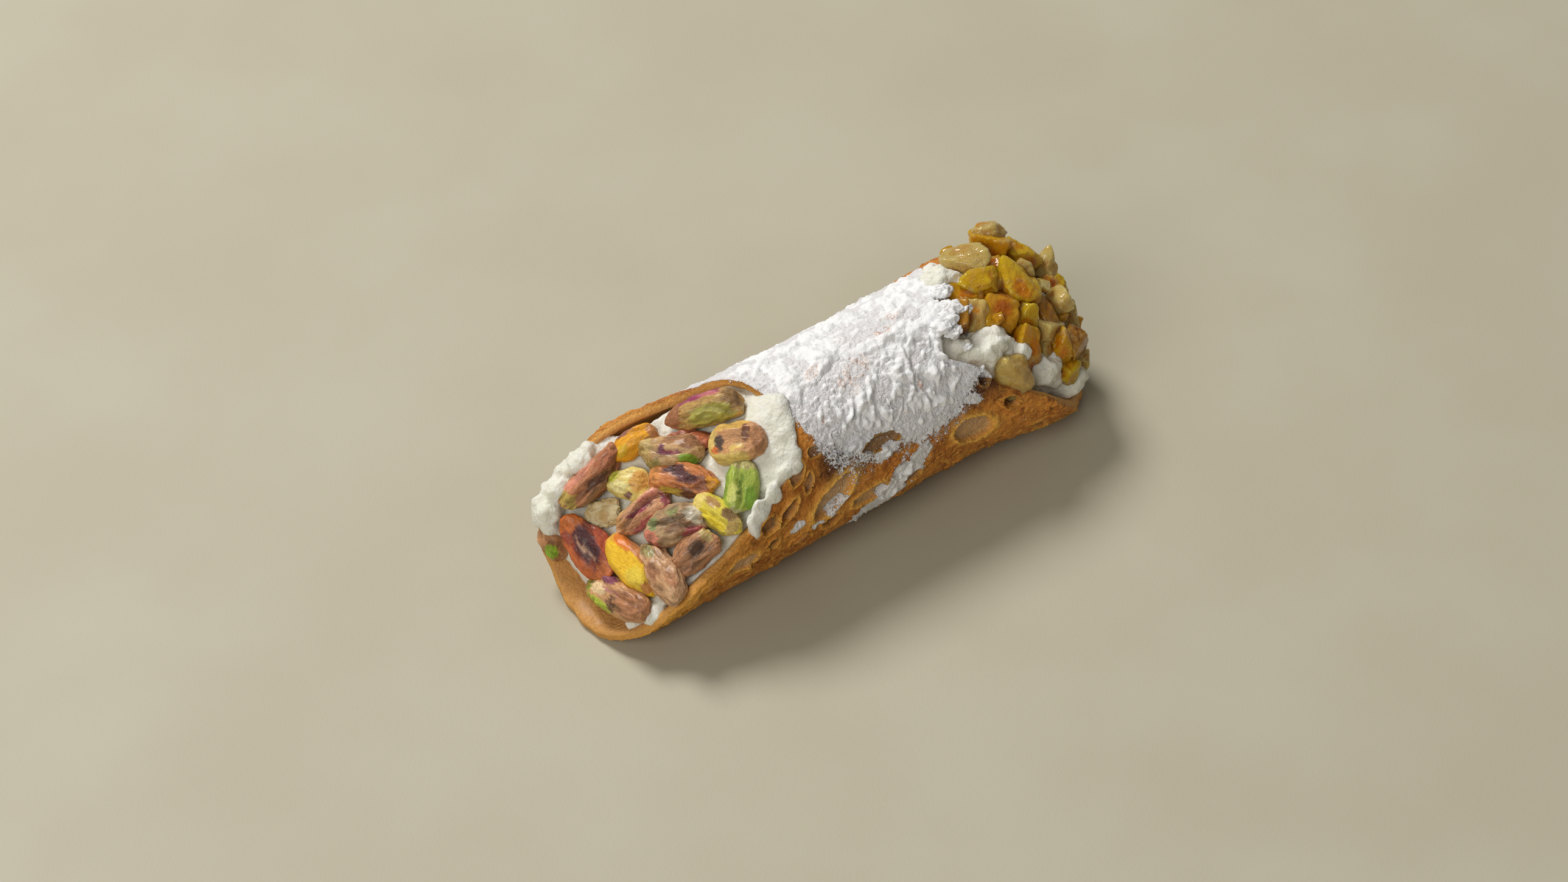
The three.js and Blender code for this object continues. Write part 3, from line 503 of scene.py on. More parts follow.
# ------------------------------------------------------------------ meshes
def grid_faces(rows, columns, close_rows=False, close_columns=False):
    """The quads of a grid of points, joined at its ends where it is closed."""
    r = np.arange(rows if close_rows else rows - 1)[:, None]
    c = np.arange(columns if close_columns else columns - 1)[None, :]
    r1, c1 = (r + 1) % rows, (c + 1) % columns
    quads = [r * columns + c, r * columns + c1, r1 * columns + c1, r1 * columns + c]
    return np.stack(quads, -1).reshape(-1, 4)


def facing_out(points, faces):
    """The faces, turned round if they enclose a negative volume."""
    a, b, c = (points[faces[:, k]] for k in (0, 1, 2))
    volume = (a * np.cross(b, c)).sum()
    if faces.shape[1] == 4:
        d = points[faces[:, 3]]
        volume += (a * np.cross(c, d)).sum()
    return faces if volume > 0 else faces[:, ::-1]


def add_mesh(name, points, faces, material, **attributes):
    """A smooth mesh object from points in millimetres. An attribute is one number or one colour a point."""
    mesh = bpy.data.meshes.new(name)
    mesh.from_pydata(points * MM, [], [list(face) for face in faces])
    mesh.polygons.foreach_set("use_smooth", np.ones(len(mesh.polygons), bool))
    put_attributes(mesh, attributes)
    mesh.materials.append(material)
    mesh.update()
    thing = bpy.data.objects.new(name, mesh)
    bpy.context.scene.collection.objects.link(thing)
    return thing


def put_attributes(mesh, attributes):
    """Stores each attribute in the kind of layer that its values need."""
    for key, values in attributes.items():
        if values.ndim == 1:
            layer = mesh.attributes.new(key, "FLOAT", "POINT")
            layer.data.foreach_set("value", values.astype(np.float32))
        elif key == "lie":
            layer = mesh.attributes.new(key, "FLOAT_VECTOR", "POINT")
            layer.data.foreach_set("vector", values.astype(np.float32).ravel())
        else:
            layer = mesh.attributes.new(key, "FLOAT_COLOR", "POINT")
            full = np.concatenate([values, np.ones((len(values), 1))], 1)
            layer.data.foreach_set("color", full.astype(np.float32).ravel())


def read_mesh(mesh):
    """The points in millimetres and the normals of a mesh."""
    points = np.empty(len(mesh.vertices) * 3, np.float32)
    normals = np.empty_like(points)
    mesh.vertices.foreach_get("co", points)
    mesh.vertices.foreach_get("normal", normals)
    return points.reshape(-1, 3).astype(float) / MM, normals.reshape(-1, 3).astype(float)


def baked(thing, name, material):
    """The object that stands in for thing once its modifiers are applied."""
    depsgraph = bpy.context.evaluated_depsgraph_get()
    mesh = bpy.data.meshes.new_from_object(thing.evaluated_get(depsgraph))
    mesh.name = name
    old = thing.data
    bpy.data.objects.remove(thing)
    bpy.data.meshes.remove(old)
    mesh.materials.clear()
    mesh.materials.append(material)
    solid = bpy.data.objects.new(name, mesh)
    bpy.context.scene.collection.objects.link(solid)
    return solid


def settle(thing, slot, *nodes):
    """Puts a finished piece on the body and in place of the solids it stands for. Its slot is not used."""
    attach(thing, BODY)
    if nodes:
        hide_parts(*nodes)


def linear(colour):
    """A colour of 0 to 255 as Blender's own linear values."""
    share = np.asarray(colour, float) / 255
    return np.where(share <= 0.04045, share / 12.92, ((share + 0.055) / 1.055) ** 2.4)


# ------------------------------------------------------------------ materials
class Wire:
    """A number that runs through a material. Arithmetic on it adds Math nodes."""

    def __init__(self, finish, socket):
        self.finish = finish
        self.socket = socket

    def math(self, operation, *values):
        node = self.finish.node("ShaderNodeMath", {"operation": operation}, dict(enumerate(values)))
        return Wire(self.finish, node.outputs[0])

    def __add__(self, other):
        return self.math("ADD", self, other)

    def __sub__(self, other):
        return self.math("SUBTRACT", self, other)

    def __rsub__(self, other):
        return self.math("SUBTRACT", other, self)

    def __mul__(self, other):
        return self.math("MULTIPLY", self, other)

    __radd__ = __add__
    __rmul__ = __mul__

    def step(self, low, high):
        """0 below low, 1 above high and smooth between."""
        node = self.finish.node(
            "ShaderNodeMapRange",
            {"interpolation_type": "SMOOTHSTEP"},
            {"Value": self, "From Min": low, "From Max": high},
        )
        return Wire(self.finish, node.outputs[0])


class Finish:
    """A material under construction."""

    def __init__(self, name):
        self.material = bpy.data.materials.new(name)
        self.material.use_nodes = True
        self.tree = self.material.node_tree
        self.tree.nodes.clear()
        self.place = self.node("ShaderNodeTexCoord").outputs["Object"]

    def node(self, kind, settings=None, inputs=None):
        """A node of a kind, with its settings and then the values or links of its sockets."""
        made = self.tree.nodes.new(kind)
        for key, value in (settings or {}).items():
            setattr(made, key, value)
        for key, value in (inputs or {}).items():
            self.plug(made.inputs[key], value)
        return made

    def plug(self, socket, value):
        value = value.socket if isinstance(value, Wire) else value
        if isinstance(value, bpy.types.NodeSocket):
            self.tree.links.new(value, socket)
        elif isinstance(value, tuple) and socket.type == "RGBA":
            socket.default_value = (*linear(value), 1)
        else:
            socket.default_value = value

    def noise(self, size, detail=2, roughness=0.5, vector=None, distortion=0.0):
        """Noise whose lumps are about size millimetres across."""
        inputs = {
            "Vector": vector or self.place,
            "Scale": 1 / (size * (MM if vector is None else 1)),
            "Detail": detail,
            "Roughness": roughness,
            "Distortion": distortion,
        }
        return Wire(self, self.node("ShaderNodeTexNoise", {}, inputs).outputs[0])

    def lumps(self, size):
        """Distance from the middles of round lumps about size millimetres across."""
        inputs = {"Vector": self.place, "Scale": 1 / (size * MM)}
        return Wire(self, self.node("ShaderNodeTexVoronoi", {}, inputs).outputs["Distance"])

    def number(self, name):
        return Wire(self, self.node("ShaderNodeAttribute", {"attribute_name": name}).outputs["Fac"])

    def colour(self, name):
        return self.node("ShaderNodeAttribute", {"attribute_name": name}).outputs["Color"]

    def vector(self, name):
        return self.node("ShaderNodeAttribute", {"attribute_name": name}).outputs["Vector"]

    def stretched(self, vector, scale):
        node = self.node("ShaderNodeVectorMath", {"operation": "MULTIPLY"}, {0: vector, 1: scale})
        return node.outputs[0]

    def mix(self, share, first, second):
        """The first colour, with a share of the second laid over it."""
        inputs = {0: share, 6: first, 7: second}
        return self.node("ShaderNodeMix", {"data_type": "RGBA", "blend_type": "MIX"}, inputs).outputs[2]

    def bump(self, height, distance):
        inputs = {"Height": height, "Distance": distance * MM, "Strength": 1.0}
        return self.node("ShaderNodeBump", {}, inputs).outputs[0]

    def surface(self, colour, roughness, normal, **constants):
        inputs = {"Base Color": colour, "Roughness": roughness, "Normal": normal}
        inputs.update({key.replace("_", " "): value for key, value in constants.items()})
        shader = self.node("ShaderNodeBsdfPrincipled", {"subsurface_method": "RANDOM_WALK"}, inputs)
        output = self.node("ShaderNodeOutputMaterial")
        self.tree.links.new(shader.outputs[0], output.inputs[0])
        return self.material


def crust_finish(settings):
    """Fried dough: golden, browner in patches and where toasted, with painted shade in crevices and pits,
    pale in torn bubbles and dusted with sugar.
    """
    f = Finish("fried_crust")
    broad = f.noise(9, 3, 0.6)
    patches = f.noise(2.6, 4, 0.65)
    fine = f.noise(0.55, 3, 0.65)
    pale, lip, toast, dust = (f.number(name) for name in ("pale", "lip", "toast", "dust"))
    colour = f.mix(broad.step(0.36, 0.66), tuple(settings.golden), (182, 106, 32))
    colour = f.mix((patches - 0.12 * lip).step(0.5, 0.7) * 0.8, colour, (136, 72, 24))
    colour = f.mix(patches.step(0.46, 0.3) * 0.5, colour, (232, 162, 66))
    # Dark brown where the dough toasted and where shade is painted into crevices, pits and creases.
    colour = f.mix((toast + patches * 0.6 - 0.3).step(0.15, 0.8), colour, (86, 42, 14))
    colour = f.mix(pale * (0.6 + 0.6 * fine), colour, (214, 180, 136))
    colour = f.mix(lip * (0.6 + 0.8 * patches), colour, (255, 196, 88))
    colour = f.mix(fine.step(0.56, 0.8) * 0.3, colour, (230, 162, 70))
    colour = f.mix(fine.step(0.42, 0.24) * 0.45, colour, (112, 56, 16))
    powder = f.noise(0.55, 3, 0.7) * 0.7 + f.noise(1.7, 2, 0.5) * 0.3
    cover = (powder + dust * 0.62 - 0.75).step(0.0, 0.1)
    colour = f.mix(cover * 0.94, colour, (240, 241, 244))
    height = fine * 0.6 + f.noise(1.2, 4, 0.7) * 1.2 - f.lumps(0.9) * 0.4 + cover * 0.35
    rough = 0.4 + 0.3 * fine + 0.4 * cover
    return f.surface(colour, rough, f.bump(height, 0.55), Specular_IOR_Level=0.3, Subsurface_Weight=0.1,
                     Subsurface_Radius=(0.8, 0.5, 0.25), Subsurface_Scale=0.001, Coat_Weight=0.1,
                     Coat_Roughness=0.22)


def cream_finish(settings):
    """Moist, slightly grainy ricotta."""
    f = Finish("ricotta_cream")
    grain = f.noise(0.7, 4, 0.7)
    broad = f.noise(4, 3, 0.6)
    colour = f.mix(broad.step(0.35, 0.7), tuple(settings.colour), (238, 238, 222))
    colour = f.mix(grain.step(0.45, 0.3) * 0.5, colour, (222, 220, 200))
    height = grain + f.noise(1.8, 3, 0.6) * 0.9 - f.lumps(1.0) * 0.5
    return f.surface(colour, 0.4 + 0.3 * grain, f.bump(height, 0.4), Subsurface_Weight=0.45,
                     Subsurface_Radius=(1.0, 0.9, 0.7), Subsurface_Scale=0.0014, Coat_Weight=0.12,
                     Coat_Roughness=0.35)


def sugar_finish(settings):
    """Matt powder, with warm crust showing through where it is a thin veil."""
    f = Finish("icing_sugar")
    grain = f.noise(0.45, 3, 0.75)
    colour = f.mix(f.noise(2.2, 3, 0.6).step(0.3, 0.7), (244, 246, 249), tuple(settings.colour))
    powder = f.noise(0.6, 3, 0.7) * 0.8 + f.noise(1.9, 2, 0.5) * 0.2
    veil = f.number("veil")
    through = (veil * 0.5 - powder + 0.25).step(0.0, 0.16)
    colour = f.mix(veil * 0.3, colour, (226, 196, 176))
    colour = f.mix(through * 0.6, colour, (196, 136, 98))
    height = grain + f.noise(0.9, 3, 0.7) * 0.8 - f.lumps(0.6) * 0.3 - through * 0.4
    return f.surface(colour, 0.85, f.bump(height, 0.18), Specular_IOR_Level=0.2, Subsurface_Weight=0.25,
                     Subsurface_Radius=(1.0, 1.0, 1.0), Subsurface_Scale=0.0008)


def kernel_finish(settings):
    """Papery skin with fibres along the kernel, scuffs and dark specks."""
    f = Finish("pistachio_kernel")
    lie = f.vector("lie")
    fibres = f.noise(1, 4, 0.7, vector=f.stretched(lie, (0.7, 1.5, 1.5)), distortion=0.8)
    mottle = f.noise(1.1, 4, 0.7, vector=lie)
    scuffs = f.noise(1, 5, 0.75, vector=f.stretched(lie, (1.2, 2.4, 2.4)))
    worn = f.number("worn")
    colour = f.mix(fibres.step(0.46, 0.66) * 0.65 * worn, f.colour("tint"), f.colour("shade"))
    colour = f.mix(scuffs.step(0.55, 0.7) * settings.scuffs * worn, colour, (226, 190, 140))
    colour = f.mix(mottle.step(0.42, 0.28) * 0.55 * worn, colour, (70, 36, 26))
    height = scuffs * 0.5 + mottle * 0.6 - fibres * 1.2
    return f.surface(colour, 0.3 + 0.3 * scuffs, f.bump(height, 0.42), Specular_IOR_Level=0.5,
                     Subsurface_Weight=0.08, Subsurface_Radius=(1.0, 0.6, 0.3), Subsurface_Scale=0.0008,
                     Coat_Weight=0.3, Coat_Roughness=0.24)


def peel_finish(settings):
    """Translucent candied flesh under dried syrup, with cloudy pith, sugar crystals and patches of painted
    glow of light through the flesh.
    """
    f = Finish("candied_peel")
    cloud = f.noise(1.7, 3, 0.65)
    crystals = f.noise(0.8, 4, 0.75)
    pith = f.noise(3.4, 3, 0.55, distortion=0.4)
    colour = f.mix(cloud.step(0.42, 0.66) * 0.6, f.colour("tint"), f.colour("shade"))
    # Patches of the painted glow of light through the flesh.
    colour = f.mix(cloud.step(0.4, 0.28) * 0.35, colour, f.colour("glow"))
    colour = f.mix(pith.step(0.55, 0.68) * 0.5, colour, (236, 196, 134))
    colour = f.mix(crystals.step(0.6, 0.74) * 0.4, colour, (254, 232, 164))
    height = crystals * 0.9 + f.noise(1.8, 3, 0.6) - f.lumps(1.3) * 0.5 + f.noise(0.4, 3, 0.7) * 0.35
    return f.surface(colour, 0.1 + 0.24 * crystals, f.bump(height, 0.75), Subsurface_Weight=0.55,
                     Subsurface_Radius=(1.3, 1.0, 0.4), Subsurface_Scale=0.0022, Coat_Weight=settings.syrup,
                     Coat_Roughness=0.08, Specular_IOR_Level=0.25, Transmission_Weight=0.24, IOR=1.38)


def flake_finish():
    """Pale, dry pastry."""
    f = Finish("pale_pastry")
    fine = f.noise(0.7, 4, 0.7)
    colour = f.mix(f.noise(2.0, 2).step(0.35, 0.65), (232, 216, 172), (206, 176, 118))
    return f.surface(colour, 0.6, f.bump(fine, 0.3), Subsurface_Weight=0.3,
                     Subsurface_Radius=(1.0, 0.7, 0.4), Subsurface_Scale=0.001)


def floor_finish(settings):
    f = Finish("pale_floor")
    colour = f.mix(f.noise(60, 3, 0.5).step(0.3, 0.7), tuple(settings.floor), (181, 175, 153))
    return f.surface(colour, 0.6, f.bump(f.noise(0.8, 3, 0.6), 0.03))


# ------------------------------------------------------------------ the crust
def bubble_list():
    """The bubbles that have a place of their own, then strays where none of them is."""
    chosen = list(BUBBLES)
    draw = np.random.default_rng(STRAY_SEED)
    for _ in range(STRAY_BUBBLES * 3):
        if len(chosen) >= len(BUBBLES) + STRAY_BUBBLES:
            break
        x, angle = draw.uniform(-56, 66), draw.uniform(-168, 150)
        size = draw.uniform(1.6, 6.5)
        rest = (size * draw.uniform(0.45, 0.8), draw.uniform(-40, 40), draw.uniform(0.25, 0.5))
        depth, pale = draw.uniform(-0.7, 0.9), draw.uniform(0, 0.4)
        inside = front_rim(angle) + RIM_MARGIN < x < back_rim(angle) - RIM_MARGIN
        shown = [b for b in chosen if oval(x, angle, *b[:2], b[2] + size + 1, b[3] + size + 1, b[4]) < 1]
        if inside and not shown:
            chosen.append((x, angle, size, *rest, depth, pale))
    return chosen


def sugar_cover(x, angle):
    """How thickly sugar lies at a place, how dusted the crust is round it and how far it shows through."""
    angle = signed(angle)
    spot = tube_point(x, TUBE_RADIUS, angle)
    ragged = 1.5 * layers(spot / 3.0, 3, 71) + 0.5 * noise(spot / 0.9, 75)
    near, near_dust = (np.interp(x, *np.array(line, float).T) for line in (SUGAR_NEAR, DUST_NEAR))
    front = x - np.interp(angle, *np.array(SUGAR_FRONT, float).T)
    back = np.interp(angle, *np.array(SUGAR_BACK, float).T) - x
    far = (angle - SUGAR_FAR) * ARC
    ends = np.minimum.reduce([front, back, far])
    inside = np.minimum(ends, (near - angle) * ARC) + ragged
    cover = smooth(inside, -0.4, 2.2)
    fade = (near_dust - angle) / np.maximum(4, near_dust - near) + 0.12 * ragged
    dust = np.clip(0.3 + 0.55 * fade, 0, 1) * smooth(fade, -0.5, 0.1)
    dust = np.maximum(np.minimum(dust, smooth(ends + ragged, -4.5, 0.5)), smooth(inside, -2.4, 0.4))
    for at_x, at_angle, length, width, turn, amount in SUGAR_PATCHES:
        away = oval(x, angle, at_x, at_angle, length, width, turn, 0.25 * ragged)
        cover = np.maximum(cover, amount * smooth(1.1 - away, 0, 0.5))
        dust = np.maximum(dust, min(1, amount * 1.5) * smooth(1.7 - away, 0, 0.9))
    veil = 0.75 * bell(inside, -0.2, 1.4)
    for at_x, at_angle, length, width, turn, gone in SUGAR_BARE:
        away = oval(x, angle, at_x, at_angle, length, width, turn, 0.3 * ragged)
        if gone < 1:
            veil = np.maximum(veil, gone * smooth(1.3 - away, 0, 0.7))
        else:
            left = 1 - smooth(1.15 - away, 0, 0.3)
            cover = cover * left
            dust = dust * (left + (1 - left) * (0.15 if width > 2 else 0.7))
    return cover, dust, veil


def crust_surface(x, angle, settings):
    """Height of the crust over the plain tube, and its masks: pale insides, thin lips, toasted places and
    painted shade in crevices, pits and creases.
    """
    angle = signed(angle)
    spot = tube_point(x, TUBE_RADIUS, angle, NO_FLOOR)
    rag = layers(spot / 1.5, 2, 5)
    height = 0.3 * layers(spot / 5.5, 2, 1)
    folds = 1 - np.abs(noise(spot / (3.6, 2.0, 2.0) + 0.3 * rag[..., None], 2)) * 2
    height += 0.42 * folds - 0.2 + 0.14 * rag + 0.07 * noise(spot / 0.7, 3)
    leaves = 3 * layers(spot / (7, 4.5, 4.5), 3, 4)
    ledge = np.floor(leaves) + smooth(leaves - np.floor(leaves), 0.72, 1)
    edge = bell(leaves - np.floor(leaves), 0.96, 0.1)
    scaly = 0.25 + 0.75 * bell(angle, 116, 26)
    height += 0.3 * scaly * (ledge - leaves + 0.5)
    pale = np.zeros_like(height)
    lip = 0.7 * edge * scaly
    # Painted shade at the foot of each flaky ledge.
    toast = 0.5 * bell(leaves - np.floor(leaves), 0.66, 0.1) * scaly
    for at_x, at_angle, length, width, turn, rise, depth, paleness in bubble_list():
        away = oval(x, angle, at_x, at_angle, length, width, turn, 0.12 * rag)
        hole = smooth(1.04 - away, 0, 0.16)
        rim = np.where(away > 1.1, bell(away, 1.1, 0.24), bell(away, 1.1, 0.09))
        height = height * (1 - 0.85 * hole) + 1.3 * rise * settings.lip_height * rim
        if depth > 0:
            height -= 1.25 * depth * hole * (1 + 0.25 * rag)
            pale = np.maximum(pale, hole * paleness)
            apron = 0.4 * bell(away, 1.2, 0.2 + 0.02 * width) * paleness
            lip = np.maximum.reduce([lip, rim**1.6 * min(1, 0.4 + 0.6 * paleness), apron])
            # Painted shade in a ring just inside the torn edge, and a darker pit bottom as painted shade in
            # the recess, less where its inside is pale.
            toast = np.maximum(toast * (1 - 0.9 * rim), (0.95 - 0.3 * paleness) * bell(away, 0.84, 0.12))
            toast = np.maximum(toast, hole * (0.85 - paleness))
        else:
            height -= depth * smooth(1.05 - away, 0, 0.9)
            pale = np.maximum(pale, 0.5 * paleness * smooth(1 - away, 0.2, 0.9))
            # Painted shade in the crease round the foot of a closed bubble.
            toast = np.maximum(toast, 0.5 * bell(away, 1.0, 0.12))
    toast = np.maximum(toast, TOASTED * bell(angle, 62, 18) * smooth(x, -14, -5) * (1 - smooth(x, 42, 52)))
    toast = np.maximum(toast, TOASTED * smooth(x - back_rim(angle), -7, -1) * bell(angle, 30, 60))
    # Darker towards the bottom, where the tube rests on the floor.
    toast = np.maximum(toast, 0.45 * bell(np.abs(angle), 180, 40))
    from_mouth = x - front_rim(angle)
    lip = np.maximum(lip, 0.55 * (1 - smooth(from_mouth, 1, 9)) * smooth(np.abs(angle), 70, 110))
    resting = 1 - bell(np.abs(angle), 180, 24)
    return height * resting * settings.relief, pale, lip, toast


def around_steps(count):
    """Angles round the tube, closer together on the near side."""
    fine = np.linspace(-180, 180, 2001)
    density = 1 + 0.75 * bell(fine, 84, 44)
    total = np.concatenate([[0], np.cumsum((density[1:] + density[:-1]) / 2)])
    return np.interp(np.arange(count) / count * total[-1], total, fine)


def crust_mesh(settings):
    """The tube of dough as one closed skin, outside, edge, inside and edge, with its masks."""
    angle = around_steps(CRUST_AROUND)[:, None]
    rag = 0.55 * layers(tube_point(0, 9, angle[:, 0]) / 2.2, 2, 21)[:, None]
    start, end = front_rim(angle) + rag, back_rim(angle) - rag
    shares = np.linspace(0, 1, CRUST_ALONG)[None, :]
    outside = start + 0.5 + (end - start - 1) * shares
    inner = end - 0.5 - (end - start - 1) * np.linspace(0, 1, CRUST_INSIDE)[None, :]
    across = np.linspace(0, 1, CRUST_LIP + 2)[1:-1][None, :]
    leaf = bell(across, 0.42, 0.13) * (0.5 + 0.5 * noise(tube_point(3, 12, angle) / 3, 8))
    belly = 0.7 * (1 - (2 * across - 1) ** 2) - 0.5 - 0.75 * leaf
    x = np.concatenate([outside, end + belly, inner, start - belly[:, ::-1]], 1)
    wall = np.concatenate(
        [np.zeros(CRUST_ALONG), across[0], np.ones(CRUST_INSIDE), across[0][::-1]]
    )[None, :] + np.zeros_like(x)
    angles = angle + np.zeros_like(x)
    height, pale, lip, toast = crust_surface(x, angles, settings)
    cover, dust, _ = sugar_cover(x, angles)
    flare = np.minimum(tube_radius(x, angles), TUBE_RADIUS + BACK_FLARE)
    thin = 0.3 * (1 - smooth(np.minimum(x - start, end - x), 0, 6))
    inside_height = 0.12 * layers(tube_point(x, 18, angles) / 3, 2, 31) + 0.25 * smooth(height, 0.3, 0.9)
    outer = tube_radius(x, angles) + height * (1 - BURIED * cover)
    inner_radius = flare - WALL + inside_height + thin
    radius = outer * (1 - wall) + inner_radius * wall
    points = tube_point(x, radius, angles, FLOOR_WALL * wall)
    outside_only = wall < 0.2
    masks = {
        "pale": np.where(outside_only, pale, 0.15 + 0.25 * wall),
        "lip": np.where(outside_only, lip, 0.35 * (leaf.mean() + bell(wall, 0.5, 0.5))),
        "toast": np.where(outside_only, toast, 0.0),
        "dust": np.where(outside_only, dust, 0.0),
        "bare": np.where(outside_only, dust * (1 - smooth(cover, 0.25, 0.6)), 0.0),
    }
    flat = points.reshape(-1, 3)
    faces = facing_out(flat, grid_faces(*x.shape, close_rows=True, close_columns=True))
    return flat, faces, {key: value.ravel() for key, value in masks.items()}


# ------------------------------------------------------------------ the icing sugar
def slab(top, bottom, faces):
    """A closed sheet between two layers of points over the same faces."""
    used, faces = np.unique(faces, return_inverse=True)
    faces = faces.reshape(-1, 4)
    count = len(used)
    edges = np.concatenate([faces[:, [k, (k + 1) % 4]] for k in range(4)])
    key = edges[:, 0] * count + edges[:, 1]
    border = edges[~np.isin(key, edges[:, 1] * count + edges[:, 0])]
    a, b = border.T
    walls = np.stack([b, a, a + count, b + count], 1)
    points = np.concatenate([top[used], bottom[used]])
    return points, np.concatenate([faces, faces[:, ::-1] + count, walls]), used


def sugar_relief(x, angle, cover, veil, depth):
    """Height of the bed over the crust: billows and puffs on top, clumps and streaks down the near side."""
    spot = tube_point(x, TUBE_RADIUS, angle)
    slanted = np.stack([x + 0.35 * angle * ARC, angle * ARC, 0 * x], -1)
    warp = noise(spot / 1.6, 40)[..., None]
    warp_wide = noise(spot / 4.5, 48)[..., None]
    billows = 2.4 * np.abs(layers(spot / 9 + 0.25 * warp_wide, 2, 45)) - 0.5
    puffs = 2.2 * np.abs(layers(spot / 3.4 + 0.3 * warp_wide, 2, 43)) - 0.5
    clumps = 1 - 1.3 * cells(slanted / (1.5, 2.1, 1) + 0.9 * warp_wide + 0.4 * warp, 41)[0]
    streaks = 2.2 * np.abs(layers(slanted / (2.6, 4.6, 1) + 0.8 * warp_wide, 2, 47)) - 0.5
    crumbs = 1 - 1.3 * cells(spot / 0.8 + 0.3 * warp, 42)[0]
    patchy = smooth(noise(spot / 6, 49), -0.35, 0.35)
    sides = smooth(angle + 9 * noise(spot / 7, 46), 4, 38)
    height = 0.06 * crumbs + 0.04 * noise(spot / 0.55, 44) - 0.35 + (0.8 - 0.4 * sides) * billows
    height += (1 - sides) * (0.26 * puffs + 0.24 * patchy * clumps * smooth(noise(spot / 5, 50), 0.0, 0.4))
    wander = 0.35 * layers(spot / 3.2, 2, 52)
    for *place, rise in SUGAR_RIDGES:
        height += rise * smooth(1.25 - oval(x, angle, *place, wander), 0, 0.8)
    height += sides * ((0.25 + 0.65 * patchy) * clumps + (1.1 - 0.5 * patchy) * streaks)
    height = depth * cover * (0.5 + height * (1 - 0.75 * veil) - 0.35 * veil)
    height += 0.5 * (clumps - 0.35) * smooth(cover, 0, 0.4) * (1 - sides * 0.3)
    height -= 0.5 * (1 - smooth(cover, 0.1, 0.8)) + 0.1
    height -= 0.35 * smooth(-angle, 25, 50)
    past_front = 1 - smooth(x - front_rim(angle), -0.6, 0.8)
    height -= 2.5 * past_front + 1.2 * smooth(x - back_rim(angle), 0, 3.5)
    return height


def sugar_mesh(settings):
    """The bed of sugar as a closed sheet that dips into the crust where it ends, and where it is thin."""
    x, angle = np.meshgrid(
        np.arange(*SUGAR_X, SUGAR_STEP), np.arange(*SUGAR_ANGLES, SUGAR_STEP / ARC), indexing="ij"
    )
    cover, _, veil = sugar_cover(x, angle)
    crust_height = crust_surface(x, angle, bpy.context.scene.pastry_crust)[0]
    ground = tube_radius(x, angle) + crust_height * (1 - BURIED * cover)
    height = sugar_relief(x, angle, cover, veil, settings.depth)
    top = tube_point(x, ground + height, angle).reshape(-1, 3)
    bottom = tube_point(x, ground - SUGAR_ROOT, angle).reshape(-1, 3)
    faces = grid_faces(*x.shape)
    shown = height.ravel()[faces].max(1) > SUGAR_LOWEST
    points, faces, used = slab(top, bottom, faces[shown])
    veil = np.concatenate([veil.ravel()[used]] * 2)
    return points, facing_out(points, faces), veil


def grain_tree(name, material):
    """Strews small lumps over a surface, as thickly as its attribute says."""
    tree = bpy.data.node_groups.new(name, "GeometryNodeTree")
    face = tree.interface
    face.new_socket("Geometry", in_out="INPUT", socket_type="NodeSocketGeometry")
    for label, kind in (
        ("Per Square Metre", "NodeSocketFloat"), ("Smallest", "NodeSocketFloat"),
        ("Largest", "NodeSocketFloat"), ("Roundness", "NodeSocketInt"), ("Seed", "NodeSocketInt"),
        ("Where", "NodeSocketString"),
    ):
        face.new_socket(label, in_out="INPUT", socket_type=kind)
    face.new_socket("Geometry", in_out="OUTPUT", socket_type="NodeSocketGeometry")
    enter, leave = tree.nodes.new("NodeGroupInput"), tree.nodes.new("NodeGroupOutput")

    def node(kind, settings=None, **inputs):
        """A node; i0, i1 and so on are inputs that are known by their number."""
        made = tree.nodes.new(kind)
        for key, value in (settings or {}).items():
            setattr(made, key, value)
        for key, value in inputs.items():
            socket = made.inputs[int(key[1:])] if key[0] == "i" and key[1:].isdigit() else made.inputs[key]
            if isinstance(value, bpy.types.NodeSocket):
                tree.links.new(value, socket)
            else:
                socket.default_value = value
        return made

    where = node("GeometryNodeInputNamedAttribute", {"data_type": "FLOAT"}, Name=enter.outputs["Where"])
    density = node("ShaderNodeMath", {"operation": "MULTIPLY"}, i0=where.outputs[0],
                   i1=enter.outputs["Per Square Metre"])
    strewn = node("GeometryNodeDistributePointsOnFaces", None, Mesh=enter.outputs["Geometry"],
                  Density=density.outputs[0], Seed=enter.outputs["Seed"])
    lump = node("GeometryNodeMeshIcoSphere", None, Radius=1.0, Subdivisions=enter.outputs["Roundness"])
    place = node("GeometryNodeInputPosition")
    wobble = node("ShaderNodeTexNoise", None, Vector=place.outputs[0], Scale=1.3)
    lumpy = node("ShaderNodeVectorMath", {"operation": "SCALE"}, Vector=place.outputs[0],
                 Scale=wobble.outputs[0])
    shaped = node("GeometryNodeSetPosition", None, Geometry=lump.outputs[0], Position=lumpy.outputs[0])
    size = node("FunctionNodeRandomValue", {"data_type": "FLOAT"}, i2=enter.outputs["Smallest"],
                i3=enter.outputs["Largest"], Seed=enter.outputs["Seed"])
    turn = node("FunctionNodeRandomValue", {"data_type": "FLOAT_VECTOR"}, i0=(0, 0, 0), i1=FULL_TURNS,
                Seed=enter.outputs["Seed"])
    copies = node("GeometryNodeInstanceOnPoints", None, Points=strewn.outputs[0],
                  Instance=shaped.outputs[0], Rotation=turn.outputs[0], Scale=size.outputs[1])
    real = node("GeometryNodeRealizeInstances", None, Geometry=copies.outputs[0])
    painted = node("GeometryNodeSetMaterial", None, Geometry=real.outputs[0], Material=material)
    tree.links.new(painted.outputs[0], leave.inputs[0])
    return tree


